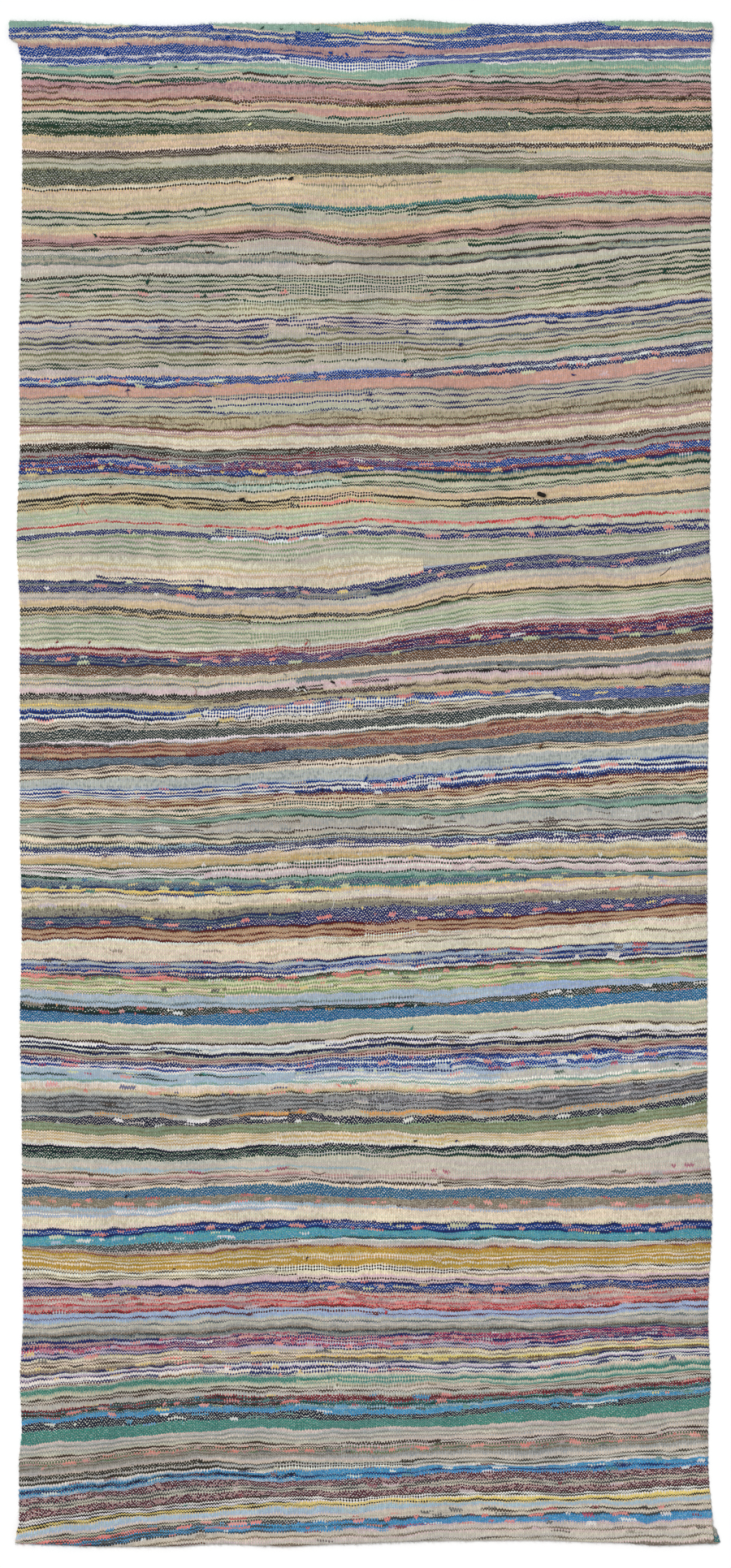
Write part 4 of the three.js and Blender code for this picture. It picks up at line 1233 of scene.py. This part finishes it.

# Each float is thick in the middle and thin at its sides and ends, where painted shade darkens it, most of
# all on dark yarn.
DARK_TO_PALE = (0.05, 0.42)
PALE_LOW, PALE_HIGH = 0.64, 1.08
DARK_LOW, DARK_HIGH = 0.4, 1.05
off = sums(tree, "ABSOLUTE", sums(tree, "SUBTRACT", sums(tree, "SUBTRACT", u, warp), 0.5))
across_float = sums(tree, "SUBTRACT", 1, sums(tree, "POWER", sums(tree, "MULTIPLY", off, 1.7), 2))
end_distance = sums(tree, "MULTIPLY", sums(tree, "ABSOLUTE", from_end), 2)
along_float = stepped(tree, sums(tree, "MINIMUM", end_distance, sums(tree, "ABSOLUTE", in_line)), 0, 0.6)
# The float's height here only sets how far the painted shade darkens its colour.
height = sums(tree, "MULTIPLY", across_float, ranged(tree, along_float, 0.4, 1))
paleness_there = put(tree, "ShaderNodeRGBToBW", {0: yarn}).outputs[0]
dark = sums(tree, "SUBTRACT", 1, stepped(tree, paleness_there, *DARK_TO_PALE))
lowest = blended(tree, dark, PALE_LOW, DARK_LOW, "FLOAT")
highest = blended(tree, dark, PALE_HIGH, DARK_HIGH, "FLOAT")
shade = sums(tree, "MULTIPLY_ADD", height, sums(tree, "SUBTRACT", highest, lowest), lowest)

# At a float's ends the pick that passes under it or the cotton warp peeps through, least in pale yarn.
GAP_REACH = (0.12, 0.34)
BARE_TO_COVERED = (0.02, 0.24)
PALE_YARN_GAP = 0.4
COTTON_SHOWS = (0.7, 1)
GAP_SHADE = 1.05
gap = sums(tree, "SUBTRACT", 1, stepped(tree, end_distance, *GAP_REACH))
gap = sums(tree, "MULTIPLY", gap, stepped(tree, sums(tree, "SUBTRACT", 0.47, off), 0, 0.1))
gap = sums(tree, "MULTIPLY", gap, sums(tree, "LESS_THAN", in_line, 0))
bare = blended(tree, stepped(tree, paleness_there, *BARE_TO_COVERED), 1, PALE_YARN_GAP, "FLOAT")
gap = sums(tree, "MULTIPLY", gap, bare)
peeping = blended(tree, ranged(tree, luck, *COTTON_SHOWS), under_yarn, WARP_COTTON)
with_warp = blended(tree, gap, yarn, peeping)
# In the gap the painted shade gives way to a painted brightness of full light.
shade = blended(tree, gap, shade, GAP_SHADE, "FLOAT")

# Each float is a little darker or paler than its neighbours, and so is each pick of each weaver.
TONE_SHARE = 0.13
STREAKS = (0.98, 1.22)
PALE_VARIES, DARK_VARIES = 0.26, 0.34
weaver = sums(tree, "GREATER_THAN", sums(tree, "MULTIPLY_ADD", sums(tree, "SINE", v), 30, u), WARPS / 2)
tone = white(tree, pick_number, weaver, 7.0).outputs["Color"]
tint = blended(tree, TONE_SHARE, (1, 0.99, 0.97, 1), tone)
tinted = put(tree, "ShaderNodeVectorMath", {0: with_warp, 1: tint}, operation="MULTIPLY").outputs[0]
streak_shade = ranged(tree, pick_streak, *STREAKS)
varies = blended(tree, dark, PALE_VARIES, DARK_VARIES, "FLOAT")
one_shade = sums(tree, "MULTIPLY_ADD", sums(tree, "SUBTRACT", luck, 0.5), varies, 1)
# The painted shade of the floats joins their own tones here, and later their wear and stains.
shade_and_tone = sums(tree, "MULTIPLY", sums(tree, "MULTIPLY", shade, one_shade), streak_shade)

# Years of use have left it uneven, a little darker and warmer here and there, and brown where it is stained.
WEAR = (0.92, 1.08)
STAIN_UNEVEN = (0.6, 1.4)
STAIN_SHADE = 0.7
COOL, WARM, BROWNED = (0.97, 0.99, 1.03, 1), (1.02, 1, 0.97, 1), (1, 0.93, 0.85, 1)
wear = smooth(tree, sums(tree, "MULTIPLY", u, 0.021), sums(tree, "MULTIPLY", v, 0.017), detail=2.0)
shade_and_tone = sums(tree, "MULTIPLY", shade_and_tone, ranged(tree, wear, *WEAR))
worn_tint = blended(tree, wear, COOL, WARM)
stained = put(tree, "ShaderNodeAttribute", attribute_name="haze").outputs["Fac"]
stained = sums(tree, "MULTIPLY", stained, ranged(tree, wear, *STAIN_UNEVEN))
shade_and_tone = sums(tree, "MULTIPLY", shade_and_tone, ranged(tree, stained, 1, STAIN_SHADE))
worn_tint = blended(tree, stained, worn_tint, BROWNED)
tinted = put(tree, "ShaderNodeVectorMath", {0: tinted, 1: worn_tint}, operation="MULTIPLY").outputs[0]
colour_with_painted_shade = put(tree, "ShaderNodeVectorMath", {0: tinted, "Scale": shade_and_tone}, operation="SCALE")
rib = sums(tree, "COSINE", sums(tree, "MULTIPLY_ADD", u, math.tau, -math.pi))
dress(tree, shader, colour_with_painted_shade.outputs[0], rib)
mesh.materials.append(cloth_look)

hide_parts("kilim_cloth")
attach(kilim, "root")


# The yarn ends. Where a rag ran out, the weavers knotted on the next one and left the knot and its tails
# on the face: small hard lumps of wound yarn, each with a tail or two, and a few longer loose threads
# that hang in loops over the picks.
KNOT_SIZE = 4.5 * MM
KNOT_SHAPE = (1.5, 0.85, 0.75)
KNOT_PINCH, PINCH_WIDE = 0.3, 0.22
KNOT_LIFT = 0.22
TAIL_LIFT = 0.12
TAIL_DROP = 0.4 * MM
TAIL_RADIUS = 0.75 * MM
TAIL_SIDES = 5
THREAD_SIDES = 6
THREAD_LIFT = 0.7 * MM

# Knots by yarn, each as its place across in centimetres, its pick and its size against a usual knot.
KNOTS = {
    "royal": [
        (45.5, 14, 1.5), (19, 25, 1.2), (67.5, 20, 1.6), (71, 21, 1.3), (109.5, 3, 1.2), (10, 10, 0.9),
        (24, 19, 1), (58, 13, 1), (76, 10, 1), (100, 28, 1), (75.5, 511, 1.4), (33, 460, 0.9),
    ],
    "sea": [(85.5, -3, 1.2), (12, 4, 1), (17, 5, 0.9), (140, 35, 0.8)],
    "bottle": [
        (28, 35, 0.9), (33.5, 35, 1.1), (38, 36, 0.9), (98, 37, 1.2), (124, 32, 1), (127, 31, 0.8),
        (137, 32, 0.9), (73, -1, 1.3), (53, 6, 1), (57, 6, 0.9), (65, 6, 1.1), (74, 0, 1),
        (98, 44, 1), (110, 44, 1), (40, 186, 1.3), (53, 180, 0.8), (56, 182, 0.8), (121, 173, 1.2),
        (119, 181, 0.8), (96, 181, 0.7), (27.5, 178, 1.6), (140, 185, 1.5), (11, 151, 0.8), (22.5, 130, 1),
        (27.5, 136, 1.1), (31.5, 131, 0.9), (40, 129, 0.9), (37, 151, 0.9), (16, 144, 1.2), (67.5, 569, 1),
        (98, 569, 0.9), (28, 467, 1.3), (43, 468, 1.1), (50, 465, 0.9),
    ],
    "umber": [
        (39.5, 56, 1), (100, 56, 1), (145.5, 54, 1.3), (144, 56, 1), (40.5, 159, 1.1), (113.5, 547, 1),
        (62, 838, 0.9), (69, 842, 1), (33, 842, 0.9), (106, 842, 0.9), (98, 844, 0.8), (86, 758, 1.2),
        (58.5, 289, 1), (115, 288, 1.2), (20, 318, 0.8),
    ],
    "black": [
        (58.5, 112.5, 1.5), (30, 115, 0.9), (48.5, 322, 1.9), (113.5, 321, 3.2), (68, 447, 1.4),
        (62, 449, 1.5), (104, 444, 1.1), (56, 519, 0.9), (61, 522, 1), (66, 518, 0.9),
    ],
    "navy": [
        (84, 212, 1.1), (133, 216, 1.1), (95.5, 220, 1), (38, 207, 0.8), (11, 206, 0.9), (23.5, 247, 1.1),
        (120, 247, 1), (64, 237, 1), (29, 241, 0.9), (85, 241, 1), (95, 758, 1.1),
    ],
    "lime": [(49.5, 74, 1.4), (19, 413, 1.2), (55.5, 415, 1.3), (106, 74, 0.9), (63, 439, 1)],
    "honey": [
        (78, 78, 1.2), (85, 78, 1), (24, 43, 1), (39, 43, 0.9), (51, 45, 1), (62, 457, 1.2), (64, 571, 0.9),
    ],
    "claret": [(63.5, 291, 1.3), (8, 414, 1), (15, 414, 1), (102, 292, 0.9), (131, 291, 1)],
    "coral": [(57.5, 184, 1), (53.5, 739, 1), (61, 737, 1), (69.5, 720, 1.1), (72, 720, 0.9), (108, 686, 1)],
    "grey": [(41, 160, 1), (57.5, 437, 0.9), (37.5, 915, 0.9)],
    "brown": [(113.5, 500, 1.4), (129, 424, 1.6), (70, 530, 1)],
    "jade": [(85.5, 684, 1.1), (40, 710, 1.1), (53, 710, 1), (36, 1000, 1)],
    "red": [(147, 864, 1.3), (79.5, 874, 1.2), (62, 414, 1)],
    "gold": [(37.5, 915, 0.9), (138, 911, 1), (114.5, 911, 0.9), (42.5, 244, 1), (134, 584, 1)],
    "white": [(60, 448, 1.1), (62, 450, 1.1), (110, 846, 1.2), (44.5, 298, 0.8)],
    "ink": [(62, 858, 1.1), (98, 860, 1.2), (105, 859, 1), (30, 860, 1), (22.5, 795, 1.2), (121, 56, 1)],
}

# Loose threads by yarn, each as points (across in centimetres, pick) along it.
THREADS = [
    ("claret", [(61.8, 411), (62.6, 412), (62.9, 415), (62.0, 417), (61.2, 420)]),
    ("red", [(14.4, 326), (13.8, 329), (14.5, 332), (15.3, 335)]),
    ("bottle", [(28.6, 463), (27.4, 465), (27.1, 469), (26.4, 474)]),
    ("umber", [(121, 50), (121.3, 54), (120.7, 58), (121.1, 62)]),
    ("honey", [(89, 112), (89.6, 113.5), (90.6, 113.4), (90.8, 112.2)]),
    ("olive", [(77, 114), (77.5, 115.8), (78.3, 116.2), (79, 114.6)]),
    ("olive", [(80, 115), (80.7, 113.4), (81.4, 113.6), (81.6, 115.2)]),
    ("navy", [(68.6, 220.5), (69.6, 221), (69.6, 223), (68.5, 223.2), (68.2, 221)]),
    ("navy", [(95, 219), (96, 219.4), (96, 221), (95.2, 221.6)]),
    ("navy", [(23.6, 244), (23.3, 248), (23.6, 251)]),
    ("gold", [(41.2, 243), (42.6, 242.4), (43.8, 244), (42.6, 246)]),
    ("honey", [(60, 243), (63, 242.2), (66.4, 243.4)]),
    ("olive", [(48.2, 391), (47.6, 394), (48.6, 398)]),
    ("umber", [(98.6, 388), (97.6, 391), (96.9, 395)]),
    ("umber", [(141.5, 386), (140.2, 389), (138.9, 391)]),
    ("brown", [(127, 420), (129, 425), (130.6, 420)]),
    ("white", [(59.6, 446), (60.2, 450), (61.4, 449), (62.4, 452), (63.2, 448)]),
    ("rust", [(37.6, 441), (38.4, 444), (37.9, 447)]),
    ("olive", [(88.6, 420), (89.7, 423), (88.9, 427)]),
    ("white", [(66, 567), (67.5, 569.4), (69, 571)]),
    ("gold", [(110.4, 562.5), (112, 561.4), (113.8, 562.6)]),
    ("gold", [(55, 562), (56.4, 563), (57.6, 561.6)]),
    ("white", [(75, 763), (76.2, 765), (77.4, 763.4)]),
    ("black", [(63, 780), (64.6, 783), (66.2, 780.4)]),
    ("umber", [(62.4, 573), (62.9, 580), (62.1, 587)]),
    ("white", [(67.6, 588), (68.4, 596), (67.7, 603)]),
    ("mauve", [(22.4, 322), (20, 323.4), (17.4, 325)]),
    ("gold", [(112.2, 571), (113.6, 569.8), (114.4, 572), (113, 573)]),
    ("jade", [(98, 577), (99, 575.6), (99.6, 578)]),
    ("sky", [(31.4, 205), (32.4, 207.2), (31.8, 209)]),
    ("grey", [(68.3, 226), (68.8, 224.8), (69.8, 225), (69.9, 226.8), (68.9, 227)]),
    ("lime", [(2.4, 330), (3.8, 333), (4.6, 336)]),
    ("jade", [(12.4, 327), (13.2, 331), (12.8, 334)]),
]

face_top = points[: rows * face_count].reshape(rows, face_count, 3)


def on_cloth(across, pick, lift=0.0):
    """A point over the face, at a place across in centimetres and a pick."""
    row = float(np.interp(pick, picks, range(rows)))
    column = float(np.interp(across / FULL_CM, face_shares, range(face_count)))
    i, j = min(int(row), rows - 2), min(int(column), face_count - 2)
    a, b = row - i, column - j
    upper = face_top[i, j] * (1 - b) + face_top[i, j + 1] * b
    lower = face_top[i + 1, j] * (1 - b) + face_top[i + 1, j + 1] * b
    return upper * (1 - a) + lower * a + np.array([0, 0, lift])


def thread(path, radius, sides, colour, into):
    """Adds one closed thread along some points to the lists of points, faces and colours."""
    path = np.array(path)
    ahead = np.gradient(path, axis=0)
    ahead /= np.maximum(np.linalg.norm(ahead, axis=1), 1e-9)[:, None]
    across = np.cross(ahead, [0.13, 0.21, 0.97])
    across /= np.linalg.norm(across, axis=1)[:, None]
    up = np.cross(across, ahead)
    first = len(into["points"])
    last = len(path) - 1
    for k, (middle, out, over) in enumerate(zip(path, across, up)):
        thick = radius * (0.55 if k in (0, last) else 1)
        for side in range(sides):
            turn = math.tau * side / sides
            into["points"].append(middle + (out * math.cos(turn) + over * math.sin(turn)) * thick)
            into["colours"].append(colour)
    for k in range(last):
        for side in range(sides):
            a, b = first + k * sides + side, first + k * sides + (side + 1) % sides
            into["faces"].append((a, b, b + sides, a + sides))
    into["faces"].append(tuple(range(first + sides - 1, first - 1, -1)))
    into["faces"].append(tuple(first + last * sides + side for side in range(sides)))


def joined(name, into):
    """Makes one piece of all that some lists hold, with its colours as an attribute."""
    piece = new_piece(name, [tuple(point) for point in into["points"]], into["faces"])
    colours = piece.data.attributes.new("yarn", "FLOAT_COLOR", "POINT")
    colours.data.foreach_set("color", linear(into["colours"]))
    piece.data.materials.append(loose_look)
    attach(piece, "root")


GRAIN_SCALE = 900.0
GRAIN_SHADES = (0.6, 1.4)
loose_look, tree, shader = matt_yarn("loose_yarn")
own = put(tree, "ShaderNodeAttribute", attribute_name="yarn").outputs["Color"]
grain_at = put(tree, "ShaderNodeTexCoord").outputs["Object"]
grain = put(tree, "ShaderNodeTexNoise", {"Vector": grain_at, "Scale": GRAIN_SCALE, "Detail": 2.0})
grain = grain.outputs["Fac"]
shaded = {0: own, "Scale": ranged(tree, grain, *GRAIN_SHADES)}
worn = put(tree, "ShaderNodeVectorMath", shaded, operation="SCALE")
dress(tree, shader, worn.outputs[0], grain)

# One knot is shaped from a small ball, drawn out along and pinched at its waist, and copied.
bpy.ops.object.select_all(action="DESELECT")
bpy.ops.mesh.primitive_ico_sphere_add(subdivisions=2, radius=0.5)
knot = bpy.context.object
knot.name = "knot"
bpy.ops.object.mode_set(mode="EDIT")
bpy.ops.mesh.select_all(action="SELECT")
bpy.ops.transform.resize(value=KNOT_SHAPE)
bpy.ops.transform.vertex_random(offset=0.07, seed=5)
bpy.ops.object.mode_set(mode="OBJECT")
knot_points = np.array([vertex.co for vertex in knot.data.vertices])
pinch = 1 - KNOT_PINCH * np.exp(-((knot_points[:, 0] / PINCH_WIDE) ** 2))
knot_points[:, 1:] *= pinch[:, None]
knot_faces = [tuple(polygon.vertices) for polygon in knot.data.polygons]
bpy.data.objects.remove(knot, do_unlink=True)

lumps = {"points": [], "faces": [], "colours": []}
tails = {"points": [], "faces": [], "colours": []}
for yarn, places in KNOTS.items():
    colour = np.array(YARNS[yarn][0])
    for across, pick, size in places:
        long = KNOT_SIZE * size * rng.uniform(0.85, 1.15)
        turn = rng.uniform(-1.2, 1.2)
        cos, sin = math.cos(turn), math.sin(turn)
        spin = np.array([[cos, -sin, 0], [sin, cos, 0], [0, 0, 1]])
        middle = on_cloth(across, pick, long * KNOT_LIFT)
        first = len(lumps["points"])
        lumps["points"] += list(knot_points @ spin.T * long + middle)
        lumps["faces"] += [tuple(first + corner for corner in face) for face in knot_faces]
        lumps["colours"] += [colour * rng.uniform(0.9, 1.1)] * len(knot_points)
        for way in (0, math.pi)[: rng.randint(1, 2)]:
            heading = turn + way + rng.uniform(-0.7, 0.7)
            reach = long * rng.uniform(0.9, 1.9)
            bend = rng.uniform(-0.5, 0.5)
            path = []
            for share in np.linspace(0.15, 1, 5):
                angle = heading + bend * share
                out = np.array([math.cos(angle), math.sin(angle), 0]) * reach * share
                path.append(middle + out + np.array([0, 0, long * TAIL_LIFT - TAIL_DROP * share]))
            thread(path, TAIL_RADIUS * rng.uniform(0.5, 0.9), TAIL_SIDES, colour, tails)
for yarn, route in THREADS:
    route = [on_cloth(across, pick, THREAD_LIFT) for across, pick in route]
    path = []
    for k in range(len(route) - 1):
        around = (route[max(k - 1, 0)], route[k], route[k + 1], route[min(k + 2, len(route) - 1)])
        path += [curve_between(*around, share) for share in (0, 0.25, 0.5, 0.75)]
    path.append(route[-1])
    thread(path, TAIL_RADIUS * rng.uniform(0.6, 0.9), THREAD_SIDES, np.array(YARNS[yarn][0]), tails)
joined("knots", lumps)
joined("thread_tails", tails)

# The fuzz. Fine hairs of wool and cotton that stand out from the selvedges and folds and lie here and there
# on the face, each the colour of the yarn that it comes from.
FIBRE_RADIUS = 0.28 * MM
FIBRE_SIDES = 3
FIBRE_PALE = np.array([235, 232, 224])
FIBRE_FADED = 0.25
TOP_FOLD_HAIRS, BOTTOM_FOLD_HAIRS = 1100, 700
SELVEDGE_HAIRS = 620
FACE_HAIRS = 700
AT_SELVEDGE = 0.1
SELVEDGE_PICKS = (8, 1010)
FACE_PICKS = (12, 1006)
ROOT_DEPTH = 0.8 * MM
hairs = {"points": [], "faces": [], "colours": []}


def hair(across, pick, heading, long, lift):
    """Adds one bent hair that starts in the cloth."""
    start = on_cloth(across, pick, -ROOT_DEPTH)
    yarn = yarn_at(int(min(max(pick, FIRST_PICK), LAST_PICK)), min(max(across / FULL_CM, 0.001), 0.999))
    colour = np.array(YARNS[yarn][0]) * (1 - FIBRE_FADED) + FIBRE_PALE * FIBRE_FADED
    bend = rng.uniform(-1.1, 1.1)
    path = [start]
    for share in (1 / 3, 2 / 3, 1):
        angle = heading + bend * share
        rise = lift * math.sin(share * 2.4)
        out = long * share
        path.append(start + np.array([math.cos(angle) * out, math.sin(angle) * out, rise]))
    thread(path, FIBRE_RADIUS * rng.uniform(0.7, 1.3), FIBRE_SIDES, colour, hairs)


def fold_pick(across, way):
    """The pick that lies furthest out at a place across, towards +Y or -Y."""
    column = round(float(np.interp(across / FULL_CM, face_shares, range(face_count))))
    return picks[int(np.argmax(face_top[:, column, 1] * way))]


for way, count in ((1, TOP_FOLD_HAIRS), (-1, BOTTOM_FOLD_HAIRS)):
    for _ in range(count):
        across = rng.uniform(0, FULL_CM)
        pick = fold_pick(across, way) + rng.uniform(-1.5, 1.5)
        hair(across, pick, way * math.pi / 2 + rng.uniform(-1, 1), rng.uniform(2.5, 6) * MM, 1 * MM)
for _ in range(SELVEDGE_HAIRS):
    pick = rng.uniform(*SELVEDGE_PICKS)
    for across, outward in ((AT_SELVEDGE, math.pi), (FULL_CM - AT_SELVEDGE, 0)):
        hair(across, pick, outward + rng.uniform(-0.9, 0.9), rng.uniform(2, 4.5) * MM, 0.6 * MM)
for _ in range(FACE_HAIRS):
    across, pick = rng.uniform(EDGE_CM, FULL_CM - EDGE_CM), rng.uniform(*FACE_PICKS)
    hair(across, pick, rng.uniform(0, math.tau), rng.uniform(6, 16) * MM, 2 * MM)
joined("fuzz", hairs)

# The setting. A pale floor, soft light from all round with a little more from the upper left, and a camera
# straight above with a long lens, so that the runner shows as flat as it lies.
FLOOR_SIDE = 60.0
FLOOR_UNDER = 0.2 * MM
bpy.ops.mesh.primitive_plane_add(size=FLOOR_SIDE, location=(0, 0, -FLOOR_UNDER))
floor = bpy.context.object
floor.name = "floor"
floor_look = bpy.data.materials.new("pale_floor")
floor_look.use_nodes = True
floor_shader = floor_look.node_tree.nodes["Principled BSDF"]
floor_shader.inputs["Base Color"].default_value = (1, 1, 1, 1)
floor_shader.inputs["Roughness"].default_value = 0.9
floor_shader.inputs["Specular IOR Level"].default_value = 0.0
floor.data.materials.append(floor_look)
floor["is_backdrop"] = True

scene = bpy.context.scene
world = bpy.data.worlds.new("studio")
world.use_nodes = True
world.node_tree.nodes["Background"].inputs["Color"].default_value = (1, 1, 1, 1)
world.node_tree.nodes["Background"].inputs["Strength"].default_value = 0.6
scene.world = world
lamp = bpy.data.lights.new("key", "SUN")
lamp.energy = 1.75
lamp.angle = math.radians(25)
key = bpy.data.objects.new("key", lamp)
key.rotation_euler = (math.radians(-28), math.radians(-32), 0)
scene.collection.objects.link(key)
scene.view_settings.view_transform = "Standard"

# The photograph's size and the places of the runner in it, in pixels.
PHOTO_WIDE, PHOTO_HIGH = 900, 1931
RUNNER_WIDE = 849
LEFT_SELVEDGE_PIXEL, TOP_FOLD_PIXEL = 25, 28
PIXEL = WIDTH / RUNNER_WIDE
CAMERA_HEIGHT = 12.0
lens = bpy.data.cameras.new("camera")
lens.sensor_width = 36
lens.lens = CAMERA_HEIGHT * lens.sensor_width / (PHOTO_HIGH * PIXEL)
camera = bpy.data.objects.new("camera", lens)
middle_x = (PHOTO_WIDE / 2 - LEFT_SELVEDGE_PIXEL) * PIXEL - WIDTH / 2
middle_y = LENGTH / 2 - (PHOTO_HIGH / 2 - TOP_FOLD_PIXEL) * PIXEL
camera.location = (middle_x - shift[0], middle_y - shift[1], CAMERA_HEIGHT)
scene.collection.objects.link(camera)
scene.camera = camera

low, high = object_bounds()
